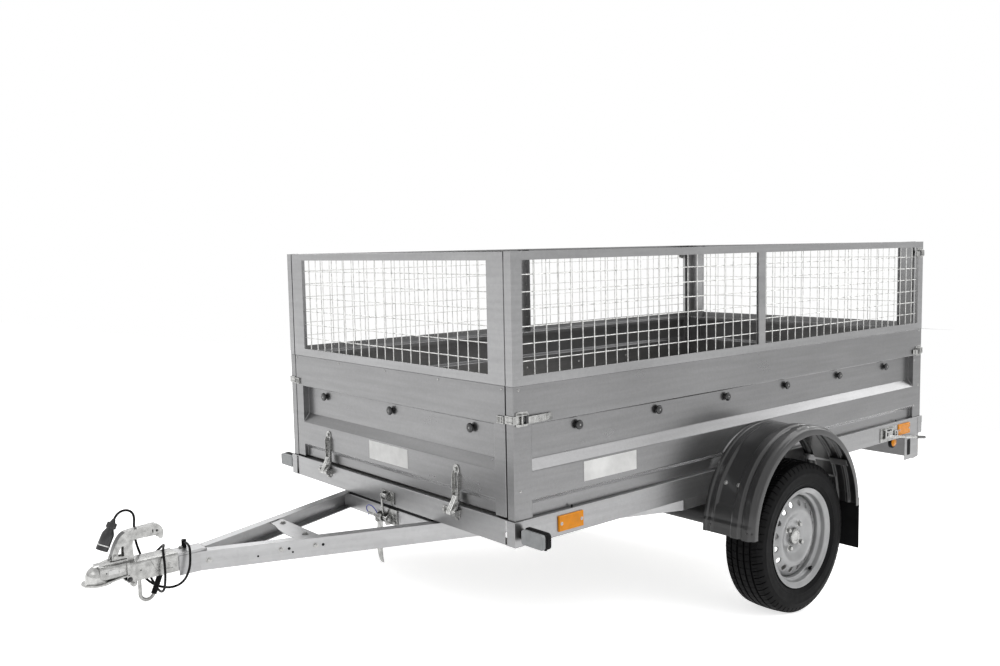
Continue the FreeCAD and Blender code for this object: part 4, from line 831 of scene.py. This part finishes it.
def fender_shape():
    """The shell: its outside, its rolled lip and its inside, turned over the wheel."""
    lines = [FENDER_IN + 2.5 * i for i in range(79)] + [859.5]
    lip = [(-1.2, 863.0), (-4.0, 865.2), (-8.0, 866.0), (-24.0, 866.0), (-24.0, 862.0), (-9.0, 862.0),
           (-6.0, 860.6)]
    rings = []
    for degrees in range(181):
        outside = [(fender_radius(y, degrees), y) for y in lines]
        edge = [(FENDER_R + r, y) for r, y in lip]
        inside = [(r - FENDER_WALL, y) for r, y in outside[::-1][1:]]
        rings.append([polar(FENDER, r, y, math.radians(degrees)) for r, y in outside + edge + inside])
    return Shape().skin(rings)


def on_fender(y, degrees, proud=0.0):
    """A place on the fender's surface, or as far off it as it stands proud."""
    return Vector(polar(FENDER, fender_radius(y, degrees) + proud, y, math.radians(degrees)))


def fenders():
    """Both fenders with their screws and studs, and the mudflaps behind them."""
    for side, place in (("left", HERE), ("right", MIRROR)):
        shell = fender_shape().moved(place)
        piece("fender_" + side + "_shell", shell, "fender", "bed", ["fender_" + side], angle=50)
    screws, studs = Shape(), Shape()
    for degrees in (30.4, 149.6):
        for y in (717, 769):
            axis = on_fender(y, degrees, 10) - on_fender(y, degrees)
            screws.turned(on_fender(y, degrees), axis, [(0, 8.0), (1.2, 8.0)], 20)
            screws.dome(on_fender(y, degrees, 1.2), axis, 5.6, 3.2)
    for degrees in (4.2, 175.8):
        for y in (690, 846, 858):
            axis = on_fender(y, degrees, 10) - on_fender(y, degrees)
            studs.dome(on_fender(y, degrees, -0.4), axis, 5.0, 3.0)
    piece("fender_screws", screws.both(), "zinc", "bed")
    piece("fender_studs", studs.both(), "plastic", "bed")
    flaps = Shape()
    x = FENDER[0] - FENDER_R - 8.2
    outline = [(672, -295), (856, -295), (858, -290), (858, -101), (669.5, -101), (669.5, -290)]
    flaps.prism([(x, y, z) for y, z in outline[::-1]], (-4, 0, 0))
    for z in (-285, -262):
        flaps.box(x - 4.8, x - 4, 676, 852, z, z + 2)
    rivets = Shape()
    for y in (690, 764, 838):
        rivets.dome((x - 4, y, -112), (-1, 0, 0), 6, 3)
    piece("mudflap_sheets", flaps.both(), "rubber", "bed", ["mudflaps"], 0.8)
    piece("mudflap_rivets", rivets.both(), "zinc", "bed")


# Knobs

KNOB = [(0, 8.5), (2.6, 8.2), (3.4, 6.0), (5.6, 6.0), (6.2, 11.4), (7.4, 14.2), (8.6, 14.9), (11.2, 14.9),
        (13.0, 13.9), (14.8, 11.0), (15.6, 8.6), (15.8, 6.4), (15.0, 4.6), (14.8, 3.0)]


def knobs():
    """The turned knobs for the tarpaulin's cord, each with its rivet."""
    z, depth = SILL_TOP + 246.0, 24.0
    side = [(-LENGTH / 2 + (i - 2.5) * 372.0, HALF - depth, z) for i in range(6)]
    gate = [(-depth, (i - 1) * 438.0, z) for i in range(3)]
    rows = [("side_knobs", side, Y, "bed", MIRROR),
            ("front_knobs", gate, X, "front_gate", HERE),
            ("tail_knobs", gate, X, "tailgate", REAR)]
    for node, places, axis, body, copy in rows:
        heads, rivets = Shape(), Shape()
        for place in places:
            heads.turned(place, axis, KNOB, 28)
            rivets.dome(Vector(place) + Vector(axis) * 14.6, axis, 2.9, 1.6)
        for shape in (heads, rivets):
            if copy == MIRROR:
                shape.both()
            else:
                shape.moved(copy)
        piece(node + "_turned", heads, "plastic", body, [node])
        piece(node + "_rivets", rivets, "zinc", body)


# Gate hinges

HINGE_Y, HINGE_X, HINGE_Z = 385.0, 20.0, 52.0


def hinge_strap(y):
    """A pressed strap on the gate: round top, long slot, folded edges, and the eye on the pin."""
    half, low, top = 15.0, 84.0, 202.0
    outline = [(0, y - half, low)] + [(0, p.y, p.z) for p in arc((0, y, top - half), half, 180, 0, 12, "yz")]
    outline += [(0, y + half, low)]
    shape = Shape().prism(outline, (3.0, 0, 0))
    slot = arc((-5, y, 172), 5, 0, 180, 8, "yz") + arc((-5, y, 124), 5, 180, 360, 8, "yz")
    shape.minus(Shape().prism(slot, (20, 0, 0)))
    for edge in (y - half, y + half - 2.5):
        shape.prism([(2.5, edge, low), (10, edge, low + 6), (10, edge, 168), (2.5, edge, 184)], (0, 2.5, 0))
    shape.prism([(0, y - half, low + 4), (3.6, y - half, low + 4), (HINGE_X + 6, y - half, HINGE_Z + 6),
                 (HINGE_X - 4, y - half, HINGE_Z + 7)], (0, 2 * half, 0))
    shape.lathe((HINGE_X, y, HINGE_Z), [(5.3, -half), (9, -half), (9, half), (5.3, half)], 32)
    shape.bolt((3, y, top - half), X, 6.5, 6)
    shape.dome((2.6, y, 108), X, 4.5, 3)
    return shape


def hinge_spring(y):
    """The bright spring wires of a hinge, bent round its pin."""
    shape = Shape()
    for i in range(3):
        at = y - 13 + i * 7
        route = [(11, at + 9, 106), (16, at + 6, 92), (25, at - 3, 62), (30, at - 4, 55), (27, at - 4, 47)]
        shape.tube(bent(route, 8), 2.1, 10)
    return shape


def hinge_foot(y):
    """The hinge's sill plate, with its two bolts."""
    shape = Shape().box(5, 8.2, y - 66, y + 21, 36, 62)
    shape.bolt((8.2, y - 57, 50), X, 6.5, 6)
    shape.bolt((8.2, y + 4, 36), X, 6.0, 5)
    return shape


def hinges():
    """Straps, springs and feet of both gates."""
    for node, body, place in (("front_straps", "front_gate", HERE), ("tail_straps", "tailgate", REAR)):
        straps, springs = Shape(), Shape()
        for y in (HINGE_Y, -HINGE_Y):
            straps.add(hinge_strap(y))
            springs.add(hinge_spring(y))
        piece(node + "_pressed", straps.moved(place), "zinc", body, [node], 0.7)
        piece(node + "_springs", springs.moved(place), "wire", body)
    feet = Shape().add(hinge_foot(HINGE_Y)).add(hinge_foot(-HINGE_Y))
    piece("hinge_feet", feet.both(REAR), "zinc", "bed", bevel=0.5)


# Corner latches and keepers

def toggle(length, dark):
    """A toggle latch on the left wall from x = 0 back: base, cheeks, ribbed lever; or its dark roller."""
    if dark:
        shape = Shape().turned((-38, 6.4, 9), Z, [(0, 5.6), (26, 5.6)], 20)
        return shape.box(-46, -26, 3, 7.4, 14, 30)
    shape = upright([(0, 2), (0, 42), (-8, 45), (-44, 43), (-50, 36), (-50, 8), (-44, 1), (-8, 0)][::-1], 0, 3)
    for z in (6, 33):
        shape.prism([(-2, 3, z), (-47, 3, z), (-44, 11.5, z), (-12, 12.5, z)], (0, 0, 3))
    shape.turned((-20, 8, 4), Z, [(0, 3.2), (34, 3.2)], 14)
    shape.prism([(-36, 4, 8), (-46, 13, 8), (-60, 11, 8), (-length + 4, 6.4, 8), (-length, 3.6, 8),
                 (-length + 6, 2.2, 8), (-52, 5, 8)], (0, 0, 21))
    for i in range(6):
        x = -62 - i * (length - 74) / 6
        shape.box(x - 4, x, 6.5, 11.6 - i * 0.7, 10.5, 26.5)
    return shape


def keeper():
    """The gate's strip that the latch pulls on, with its slots showing as raised bars."""
    edge = 619.0
    shape = Shape().box(0, 3, edge - 31, edge, 2, 24)
    for z in (2, 21):
        shape.box(3, 6, edge - 31, edge, z, z + 3)
    for i in range(4):
        shape.box(3, 5, edge - 29 + i * 7.4, edge - 25.6 + i * 7.4, 5, 21)
    return shape


def latch_hook():
    """The latch's own end, round the wall's corner."""
    shape = Shape().box(0.6, 4, 623, 660, 9, 33)
    shape.box(-8, 4, 656, 660.5, 9, 33)
    for z in (13, 26):
        shape.box(4, 6, 625, 657, z, z + 3)
    return shape


def latches():
    """Toggle latches at the corners, and the keepers on both gates."""
    low = SILL_TOP + 275.0
    metal, dark = Shape(), Shape()
    front = shift(-8, HALF, low)
    middle = shift(-LENGTH / 2, 0, 0)
    flip = middle @ Matrix.Scale(-1, 4, X) @ middle.inverted()
    high = shift(0, 0, MESH_TOP - 71.0 - low)
    for place, length in ((front, 142.0), (flip @ front, 72.0), (high @ flip @ front, 66.0)):
        metal.add(toggle(length, False), place)
        dark.add(toggle(length, True), place)
    lift = shift(0, 0, low)
    metal.add(latch_hook(), lift).add(latch_hook(), flip @ lift).add(latch_hook(), high @ flip @ lift)
    piece("corner_latches_toggle", metal.both(), "zinc", "bed", ["corner_latches"], 0.6)
    piece("corner_latches_rollers", dark.both(), "plastic", "bed", bevel=0.5)
    gate = shift(0, 0, low + 6)
    front_keepers = Shape().add(keeper(), gate)
    tail = Shape().add(keeper(), gate).add(keeper(), high @ gate)
    piece("front_keepers_slotted", front_keepers.both(), "zinc", "front_gate", ["front_keepers"], 0.5)
    piece("tail_keepers_slotted", tail.both().moved(REAR), "zinc", "tailgate", ["tail_keepers"], 0.5)


# Lamps, reflectors, stickers, rear board

def slab(x0, x1, y0, y1, z0, z1, radius):
    """A block along X whose outline across is a rounded rectangle."""
    corners = [(y1 - radius, z1 - radius, 0), (y0 + radius, z1 - radius, 90), (y0 + radius, z0 + radius, 180),
               (y1 - radius, z0 + radius, 270)]
    outline = []
    for y, z, start in corners:
        outline += arc((x0, y, z), radius, start, start + 90, 5, "yz")
    return Shape().prism(outline, (x1 - x0, 0, 0))


def lamps():
    """Front lamps, side reflector screws and blank labels."""
    rubber = slab(-34, -19, 675, 773, 13.5, 61.5, 11).add(slab(-20, -12, 680, 772, 14.5, 60.5, 9))
    rubber.box(-34, -12, 662.5, 689, 25.5, 49.5)
    piece("position_lamp_bodies", rubber.both(), "rubber", "bed", ["position_lamps"], 2.0)
    glass = slab(-13, 0, 681, 771.5, 15.5, 59.5, 8)
    piece("position_lamp_faces", glass.both(), "clear", "bed", ["position_lenses"], 2.2)
    dots = Shape().dome((-0.2, 712, 38), X, 4.2, 0.2).box(-18, -12, 750, 771.4, 14.2, 16.4)
    piece("position_lamp_plugs", dots.both(), "rubber", "bed")
    screws = Shape()
    for front in (-166.0, 213.0 - LENGTH):
        for x in (front - 9.5, front - 93.5):
            screws.turned((x, 667.6, 37.5), Y, [(0, 5.4), (0.6, 5.4)], 20)
            screws.dome((x, 668.0, 37.5), Y, 3.8, 1.6)
    piece("reflector_screws", screws.both(), "zinc", "bed")
    plates = Shape().box(0.05, 0.9, -110, 122, 143, 207)
    piece("front_label_blank", plates, "white", "front_gate", bevel=0.3)
    side = Shape().box(-522, -283, HALF + 0.05, HALF + 0.9, 146, 208)
    piece("side_labels_blank", side.both(), "white", "bed", bevel=0.3)


BOARD_X = -LENGTH - 5.0
REAR_LENSES = [("indicator", "amber", 570, 628), ("tail", "red", 500, 568.6), ("reverse", "clear", 432, 498.6)]


def rear_board():
    """Rear lamps, number plate holder, end plates with their slots as dark plates of painted shade, and round
    markers.
    """
    x = BOARD_X
    shell = slab(x - 30, x, 430.0, 630, -106.5, -14.5, 8)
    piece("rear_lamp_housings", shell.both(), "plastic", "bed", ["rear_lamps"], 1.5)
    for name, look, y0, y1 in REAR_LENSES:
        glass = slab(x - 44, x - 29, y0, y1, -104.5, -16.5, 6)
        piece("rear_" + name + "_lenses", glass.both(), look, "bed", bevel=3.0, segments=3)
    rim = Shape()
    for z in (-8.5, -116.5):
        rim.box(x - 4, x - 0.2, -260, 260, z, z + 4)
    for y in (-260, 256):
        rim.box(x - 4, x - 0.2, y, y + 4, -112.5, -8.5)
    piece("plate_holder_rim", rim, "plastic", "bed", bevel=0.6)
    ends = upright([(-2440, -2), (-2318, -2), (-2318, -116), (-2434, -116), (-2440, -110)], 638, 3)
    piece("lamp_board_ends", ends.both(), "frame", "bed", bevel=0.6)
    # Thin black plates of painted shade where the end plates are slotted; the round markers' black rims and
    # mounts.
    marks = upright([(-2366, -28), (-2363, -25), (-2341, -25), (-2338, -28), (-2338, -93), (-2341, -96),
                     (-2363, -96), (-2366, -93)], 641, 0.8)
    marks.turned((-2196, 640, -14), Y, [(0, 27), (9, 27), (12, 24), (12, 20)], 40)
    marks.box(-2208, -2184, 634, 640, -34, 8)
    piece("lamp_board_slot_shade_and_marker_rims", marks.both(), "rubber", "bed", bevel=0.4)
    glow = Shape().dome((-2196, 652, -14), Y, 20, 7)
    piece("round_marker_lenses", glow.both(), "amber", "bed")
    slots = Shape()
    for y in (560, 606):
        slots.dome((x - 0.1, y, -8.5), (-1, 0, 0), 4, 2.4)
    piece("lamp_board_screws", slots.both(), "zinc", "bed")


# Coupling

HOUSING_HALF, BALL_HEIGHT = 34.2, 18
CUP = (965.0, 0.0, -39.0)
HANDLE_BACK = [(928, 18), (926, 28), (922.5, 40), (918, 52), (912, 64), (905, 75.5), (897, 84.5), (887, 90.5),
               (870, 93), (840, 95.6), (806, 98), (798, 97.6), (790, 94), (783.5, 87), (780, 78), (779.3, 70),
               (781, 60), (783, 55)]
HANDLE_FRONT = [(787.5, 53), (792, 55), (794.5, 60), (797.5, 64), (803, 66), (862, 66), (866, 62), (868, 54),
                (868, 43), (866, 7), (885, 7), (886, 18)]
HANDLE_WINDOW = [(893, 25.2), (911.9, 25.2), (906, 42.5), (898.2, 53.4), (891.9, 53.4)]


def upright(outline, y, thickness):
    """A flat plate in the XZ plane from (x, z) points."""
    return Shape().prism([(x, y, z) for x, z in outline], (0, thickness, 0))


def bowl(radius, degrees):
    """(radius, height) pairs round the middle of the ball."""
    turns = [math.radians(t) for t in degrees]
    return [(radius * math.cos(t), BALL_HEIGHT + radius * math.sin(t)) for t in turns]


def cup_shape():
    """The polished ball cup with its rolled lip, hollow for the ball."""
    skirt = [(25.5, 0), (40.6, 0), (42, 1.4), (42, 4.4), (40.8, 5.8), (35.5, 6), (33, 7.2), (32, 10)]
    profile = [(max(r, 0.4), z) for r, z in skirt + bowl(32, range(0, 91, 6)) + bowl(25.5, range(90, -1, -9))]
    turn = Matrix.Translation(CUP) @ Matrix.Rotation(math.pi / 2, 4, "X")
    return Shape().lathe((0, 0, 0), profile, 64).moved(turn)


def neck_shape():
    """The neck behind the cup: rounded body, flange and crown, open where the ball goes."""
    shape = slab(886, 966, -32, 32, -30, 10, 7)
    socket = [(-30, 27), (BALL_HEIGHT, 27)] + [(z, r) for r, z in bowl(27, range(10, 91, 10))]
    shape.minus(Shape().turned(CUP, Z, socket, 48))
    crown = [(886, 9), (886, 15), (890, 17), (932, 17), (941, 14.6), (962, 9)]
    return shape.add(upright(crown, -20, 40))


def flange_shape():
    """The sloping flange between neck and cup, open where the ball goes."""
    shape = Shape().prism([(886, -37, -28), (965, -37, -39), (965, -37, -33.4), (886, -37, -22.4)], (0, 74, 0))
    return shape.minus(Shape().turned(CUP, Z, [(-8, 27), (22, 27)], 48))


def housing_shape():
    """The pressed channel over the tongue, its clamp band, creases and lugs."""
    half, top, low, back = HOUSING_HALF, 7.0, -47.0, 748.0
    bend = arc((0, -half + 5, top - 5), 5, 180, 90, 5, "yz")
    outline = [(-half, low), (-half, top - 5)] + [(p.y, p.z) for p in bend]
    outline += [(-y, z) for y, z in outline[::-1]]
    inner = [(y * 0.902, min(z, top - 3.4)) for y, z in outline]
    shape = Shape()
    shape.prism([(back, y, z) for y, z in outline + inner[::-1]], (888 - back, 0, 0))
    ring = [(-37, low), (-37, top - 3), (-33, top + 2.6), (33, top + 2.6), (37, top - 3), (37, low), (33, low),
            (33, top - 4), (-33, top - 4), (-33, low)]
    shape.prism([(885, y, z) for y, z in ring], (9, 0, 0))
    shape.box(868, 893, -33, 33, low, low + 3)
    return shape


def housing_trim():
    """Creases, screws, a black nut and dimples on the housing's sides, the dimples as small dark domes of
    painted shade.
    """
    bright, dark = Shape(), Shape()
    for a, b in (((828, 4), (814, -27)), ((799, 4), (812, -27))):
        bright.rod((a[0], HOUSING_HALF, a[1]), (b[0], HOUSING_HALF, b[1]), 1.0, 8)
    for x, z in ((813, -31), (776, -18)):
        bright.dome((x, HOUSING_HALF, z), Y, 4.2, 2.4)
    bright.rod((787, HOUSING_HALF, -31), (765, HOUSING_HALF, -32.5), 1.6, 10)
    # Small dark domes of painted shade in the dimples.
    for x, z in ((856, -19), (949, -8)):
        dark.dome((x, HOUSING_HALF - (2.4 if x > 900 else 0), z), Y, 2.2, 0.7)
    dark.bolt((888, 36, -38), Y, 5.0, 7)
    bright.turned((877, 22, -53), Y, [(0, 7), (1, 8.4), (13, 8.4), (14, 7)], 24)
    bright.bolt((877, 36, -53), Y, 4.6, 4)
    bright.box(868, 886, 24, 34, -53, -46)
    return bright, dark


def coupling():
    """Cup, neck, flange, housing and the screws on it."""
    piece("coupling_cup", cup_shape(), "polished", "chassis", ["coupling_head"], angle=40)
    piece("coupling_neck", neck_shape(), "zinc", "chassis", bevel=1.6)
    piece("coupling_flange", flange_shape(), "zinc", "chassis", bevel=1.8)
    piece("coupling_housing", housing_shape(), "zinc", "chassis", bevel=1.2)
    bright, dark = housing_trim()
    piece("coupling_screws", bright.both(), "zinc", "chassis", bevel=0.4)
    piece("coupling_nut_and_dimple_shade", dark.both(), "plastic", "chassis")
    tag = Shape().box(917, 944, 32.1, 32.6, -14, -2).box(900, 914, 32.1, 32.6, -12, -4)
    piece("coupling_tag_blank", tag, "white", "chassis")


def handle():
    """The locking handle: two side plates, the web round their back, its dark shield, pin and spring."""
    plates = Shape()
    for y in (-14, 10):
        plates.add(upright(HANDLE_BACK + HANDLE_FRONT, y, 4))
    tools = upright(HANDLE_WINDOW, -20, 40)
    tools.turned((798, -20, 79), Y, [(0, 3.6), (40, 3.6)], 20)
    slot = [(p.x, p.z) for p in arc((810, 0, 84), 1.8, 0, 180, 6) + arc((810, 0, 77), 1.8, 180, 360, 6)]
    tools.add(upright(slot, -20, 40))
    plates.minus(tools)
    piece("coupling_handle_plates", plates, "zinc", "chassis", ["coupling_handle"], 0.9)
    for name, look, line in (("web", "zinc", HANDLE_BACK[7:]), ("shield", "plastic", HANDLE_BACK[:8])):
        piece("coupling_handle_" + name, strap_along(line, 20.4, 4.0), look, "chassis", bevel=0.6, angle=50)
    pin = Shape().rod((917.6, -18, 27), (917.6, 18, 27), 5)
    collar = [(0, 8.4), (1.6, 8.4), (1.6, 6.4), (4.4, 6.0), (5, 4.6)]
    for side in (-1, 1):
        pin.turned((917.6, 14 * side, 27), (0, side, 0), collar, 24)
    pin.tube([(934, -9, 12)] + coil((921, -9, 22), 8.5, 18, 48, 8) + [(934, 9, 12)], 1.5, 8)
    piece("coupling_handle_pin", pin, "zinc", "chassis")


def plug():
    """The plug: fluted clamping nut, shoulders, ribbed body, bright ring and end cap."""
    end = Vector(CABLE_ROUTE[-1])
    along = (end - Vector(CABLE_ROUTE[-2])).normalized()
    side = along.orthogonal().normalized()
    up = along.cross(side)
    shape = Shape().turned(end, along, [(0, 10), (0.6, 12.2), (2.4, 13.2), (15, 13.4), (17, 12)], 36)
    barrel = [(16, 10.6), (19, 10.8), (24, 13.2), (31, 16.2), (35, 16.9), (63, 17.2), (64, 16.6)]
    shape.turned(end, along, barrel, 40)
    shape.turned(end, along, [(66.5, 16.4), (67.5, 17.3), (78.6, 17.1), (80, 15.8)], 40)
    for i in range(14):
        way = side * math.cos(i * math.pi / 7) + up * math.sin(i * math.pi / 7)
        shape.rod(end + along * 2 + way * 12.7, end + along * 15.4 + way * 12.9, 1.3, 8)
        shape.rod(end + along * 36 + way * 16.5, end + along * 61 + way * 16.8, 0.8, 8)
    shape.turned(end - along * 9, along, [(0, 5.0), (3, 5.6), (9.6, 8.4)], 24)
    piece("plug_moulded", shape, "plastic", "chassis", ["plug"])
    ring = Shape().turned(end, along, [(63.4, 17.0), (64, 17.9), (66.4, 17.9), (67, 17.0)], 40)
    piece("plug_ring", ring, "wire", "chassis")


# Drawbar fixings, tilt latch, sill catches, screws, and painted highlights on the walls' lower fold

def beam_side(x, z):
    """A place on the left beam's outer face."""
    return Vector((x, (768.0 - x) * 0.376, z))


def drawbar_trim():
    """The beams' bolts, their hole rows as dark discs of painted shade, and the gusset's pressed sheet."""
    bolts, holes = Shape(), Shape()
    outward = (0.352, 0.936, 0)
    for x in (464, 368):
        bolts.bolt(beam_side(x, -28), outward, 5.6, 4.6)
        # Flat black discs of painted shade where the hole rows open into the beam.
        holes.dome(beam_side(x - 22, -28), outward, 4.4, 0.5)
        holes.dome(beam_side(x + 64, -40), outward, 3.2, 0.5)
    for x in (700, 660):
        bolts.bolt(beam_side(x, -34), outward, 6.0, 5.0)
    bolts = bolts.both()
    bolts.bolt((358, -76, -7.5), Z, 7, 6).bolt((366, 84, -7.5), Z, 7, 6)
    bolts.bolt((718, -18, 3), Z, 7, 6)
    piece("drawbar_bolts", bolts, "zinc", "chassis")
    piece("drawbar_hole_shade", holes.both(), "rubber", "chassis")
    top = -8.0
    outline = [(336, -124), (336, 124), (352, 132), (404, 110), (410, 60), (408, 20), (402, -20), (390, -70),
               (386, -118), (352, -130)]
    sheet = Shape().prism([(x, y * 0.985, top - 3) for x, y in outline], (0, 0, 3))
    sheet.add(upright([(336, top - 3), (336, top - 16), (339, top - 16), (339, top - 3)], -118, 236))
    piece("drawbar_gusset_pressed", sheet, "beam", "chassis", ["drawbar_gusset"], 1.2)


def strap_along(points, width, thickness, tip=0.0):
    """A flat strap that follows (x, z) points, its last part drawn in to a tip."""
    rings = []
    for i, (x, z) in enumerate(points):
        ahead, behind = points[min(i + 1, len(points) - 1)], points[max(i - 1, 0)]
        along = Vector((ahead[0] - behind[0], 0, ahead[1] - behind[1])).normalized()
        out = Vector((-along.z, 0, along.x)) * thickness
        half = width / 2 * (1 - tip * (i / (len(points) - 1)) ** 4)
        ring = [(-half, 0), (half, 0), (half, 1), (-half, 1)]
        rings.append([Vector((x, y, z)) + out * s for y, s in ring])
    return Shape().skin(rings)


def coil(start, radius, length, steps, half_turn):
    """The path of a spring's wire along Y, with so many steps in all and in half a turn."""
    return [polar(start, radius, length * i / steps, i / half_turn * math.pi) for i in range(steps + 1)]


def tilt_latch():
    """Hook, bolts and bracket on the sill; pin, spring, clip and lever on the crossbar."""
    upper = Shape().box(5.2, 9.2, -31, 46, 8, 50)
    for y in (-6, 22):
        upper.add(upright([(9, 16), (20, 20), (28, 28), (30, 36), (26, 44), (19, 48), (9, 48)], y, 3))
    upper.turned((22, -12, 37), Y, [(0, 4.6), (4, 4.6), (4, 6.5), (34, 6.5), (34, 4.6), (40, 4.6)], 20)
    upper.bolt((9.2, 36, 42), X, 6.0, 6).bolt((9.2, -22, 30), X, 7.0, 6)
    piece("tilt_latch_bracket", upper, "zinc", "bed", ["tilt_latch_upper"], 0.8)
    lower = Shape().box(5.2, 10.2, -37, 62, -62, -8)
    for y in (-37, 24):
        cheek = [(10, -62), (28, -62), (33, -56), (33, -38), (26, -31), (18, -27), (10, -27)]
        lower.add(upright(cheek, y, 3.5))
    lower.turned((24, -92, -41), Y, [(0, 3.4), (1, 4.2), (48, 4.2), (50, 6), (134, 6), (135, 5)], 24)
    lower.turned((24, -46, -41), Y, [(0, 7.5), (5, 7.5)], 24)
    lower.bolt((24, 30, -41), Y, 7.4, 8).bolt((10.2, 46, -30), X, 7.0, 7)
    lower.bolt((10.2, 50, -52), X, 5.6, 5)
    lower.tube(coil((24, -30, -41), 9, 26, 72, 6), 1.5, 8)
    hook = [(30, -3, -30), (35, -4, -38), (32, -4, -49), (24, -4, -53), (16, -4, -46), (20, -4, -30),
            (26, 2, -8), (31, 6, 14), (33, 9, 29)]
    lower.tube(bent(hook, 6), 3.8, 12)
    piece("tilt_latch_pin", lower, "zinc", "chassis", ["tilt_latch_lower"], 0.7)
    strap = [(13, -40), (14, -80), (16, -115), (17, -140), (17, -160), (15, -180), (12, -196), (8, -206)]
    lever = strap_along(strap, 31, 3.4, 0.5).moved(shift(0, -33, 0))
    piece("tilt_latch_lever", lever, "zinc", "chassis", bevel=0.6)
    ring = [(24, -90, -50), (25, -92, -40), (28, -97, -30), (30, -92, -17), (31, -76, -10), (31, -58, -10),
            (30, -42, -17), (27, -36, -27), (25, -35, -35)]
    piece("tilt_latch_clip", Shape().tube(bent(ring, 12), 1.7, 10), "blue", "chassis")


CATCH_X, CATCH_Y = -2060.0, 661.0


def catches():
    """Lever catches at the rear of the side sills."""
    metal, grips = Shape(), Shape()
    x, y = CATCH_X, CATCH_Y
    metal.box(x - 145, x, y, y + 3, 3, 63.5)
    for z in (16, 54):
        metal.box(x - 112, x - 18, y + 3, y + 11, z, z + 4)
        for at in (x - 8, x - 114):
            metal.dome((at, y + 3, 37.5 + (z - 35) * 0.9), Y, 5, 2.6)
    metal.turned((x - 34, y + 8.4, 15), Z, [(0, 5.2), (44, 5.2)], 20)
    metal.turned((x - 84, y + 8.4, 18), Z, [(0, 4.2), (38, 4.2)], 20)
    for z in (24, 46):
        metal.tube(bent([(x - 34, y + 12, z), (x - 70, y + 13.5, z), (x - 96, y + 8, z)], 8), 2.4, 10)
    metal.box(x - 80, x - 48, y + 3, y + 12.6, 26, 44)
    metal.box(x - 141, x - 110, y + 3, y + 9, 10, 42)
    for z in (22, 34):
        metal.turned((x - 128, y + 9, z), Y, [(0, 5), (3, 5)], 16)
    arm = [(x - 58, y + 9, 25), (x - 130, y + 14, 14), (x - 300, y + 15.5, -12)]
    metal.tube(bent(arm, 30), 5.2, 16)
    grip = [(x - 296, y + 15.4, -11.4), (x - 300, y + 15.5, -12), (x - 360, y + 16, -21),
            (x - 366, y + 16.1, -22)]
    grips.tube(grip, 7.0, 16)
    piece("sill_catches_lever", metal.both(), "zinc", "bed", ["sill_catches"], 0.5)
    piece("sill_catches_grips", grips.both(), "plastic", "bed", bevel=1.5)


def fixings():
    """Screws in the sills and walls, and the rivets along the gates' tops."""
    bright, dark = Shape(), Shape()
    for x, z in ((-22, 456), (-24, 160), (-2396, 462), (-2356, 330), (-2396, 216), (-2360, 128)):
        bright.dome((x, HALF, z), Y, 4.4, 2.2)
    for x in (-28, -233, -2210):
        dark.dome((x, HALF - 4, 79), Y, 4.2, 3.0)
    for i in range(7):
        bright.dome((-180 - i * 340, HALF - 33, 300), (0, -1, 0), 5.0, 2.6)
    piece("wall_screws", bright.both(), "zinc", "bed")
    piece("sill_screws", dark.both(), "rubber", "bed")
    gates = Shape()
    for y in (-606, -300, 0, 300, 606):
        gates.dome((0.4, y, 458), X, 3.6, 1.8)
    piece("front_panel_rivets", Shape().add(gates), "zinc", "front_gate")
    piece("tail_panel_rivets", gates.moved(REAR), "zinc", "tailgate")


def painted_highlight_strip(start, end, y, low):
    """A painted highlight on a wall's lower fold: a thin strip of much brighter zinc in place of the lit
    floor's reflection, from x start to end, low being the fold's foot.
    """
    out = Vector((0, 15, -14)).normalized()
    foot, top = Vector((0, y - 13, low + 1.1)), Vector((0, y - 1.4, low + 13.5))
    outline = [Vector((start, 0, 0)) + point + out * lift
               for point, lift in ((foot, 0.03), (top, 0.03), (top, 0.35), (foot, 0.35))]
    return Shape().prism(outline, (end - start, 0, 0))


def painted_fold_highlights():
    """Painted highlights along the lower fold of the side walls and both gates."""
    sides = painted_highlight_strip(70 - LENGTH, -70, HALF, SILL_TOP + 39)
    piece("side_wall_painted_fold_highlights", sides.both(), "fold", "bed")
    front = painted_highlight_strip(51, 2 * GATE_HALF - 51, 0, GATE_FOLD).moved(FRONT)
    piece("tail_panel_painted_fold_highlight", Shape().add(front).moved(REAR), "fold", "tailgate")
    piece("front_panel_painted_fold_highlight", front, "fold", "front_gate")


def dress_parts():
    painted_fold_highlights()
    mesh_panels()
    wheels()
    fenders()
    knobs()
    hinges()
    latches()
    lamps()
    rear_board()
    coupling()
    handle()
    plug()
    drawbar_trim()
    tilt_latch()
    catches()
    fixings()


# Cable

CABLE_ROUTE = [
    (710, -16, 20), (710, 22, 24), (719, 52, 0), (725, 58, -42), (741, 46, -80), (766, 13, -99),
    (798, -22, -93), (825, -47, -64), (814, -66, -34), (782, -67, -14), (762, -46, 14), (771, -9, 26),
    (790, 29, 24), (796, 56, -10), (797, 58, -55), (794, 36, -94), (791, -8, -110), (795, -48, -88),
    (807, -64, -46), (823, -62, -2), (838, -52, 42), (845, -38, 84), (847, -24, 121), (856, -15, 139),
    (873, -9, 149), (892, -4, 149), (907, -1, 139), (915, 0, 123),
]


def cable():
    """The lead, a cord along its route."""
    data = bpy.data.curves.new("trailer_lead", "CURVE")
    data.dimensions = "3D"
    data.bevel_depth = 0.0035
    data.bevel_resolution = 4
    data.resolution_u = 12
    data.use_fill_caps = True
    spline = data.splines.new("NURBS")
    spline.points.add(len(CABLE_ROUTE) - 1)
    for point, place in zip(spline.points, CABLE_ROUTE):
        point.co = (*row(*place), 1)
    spline.order_u = 3
    spline.use_endpoint_u = True
    obj = place_object("trailer_lead", data)
    data.materials.append(looks["cable"])
    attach(obj, "chassis")
    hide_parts("cable")


looks = materials()
camera()
studio()
dress_nodes()
dress_parts()
cable()
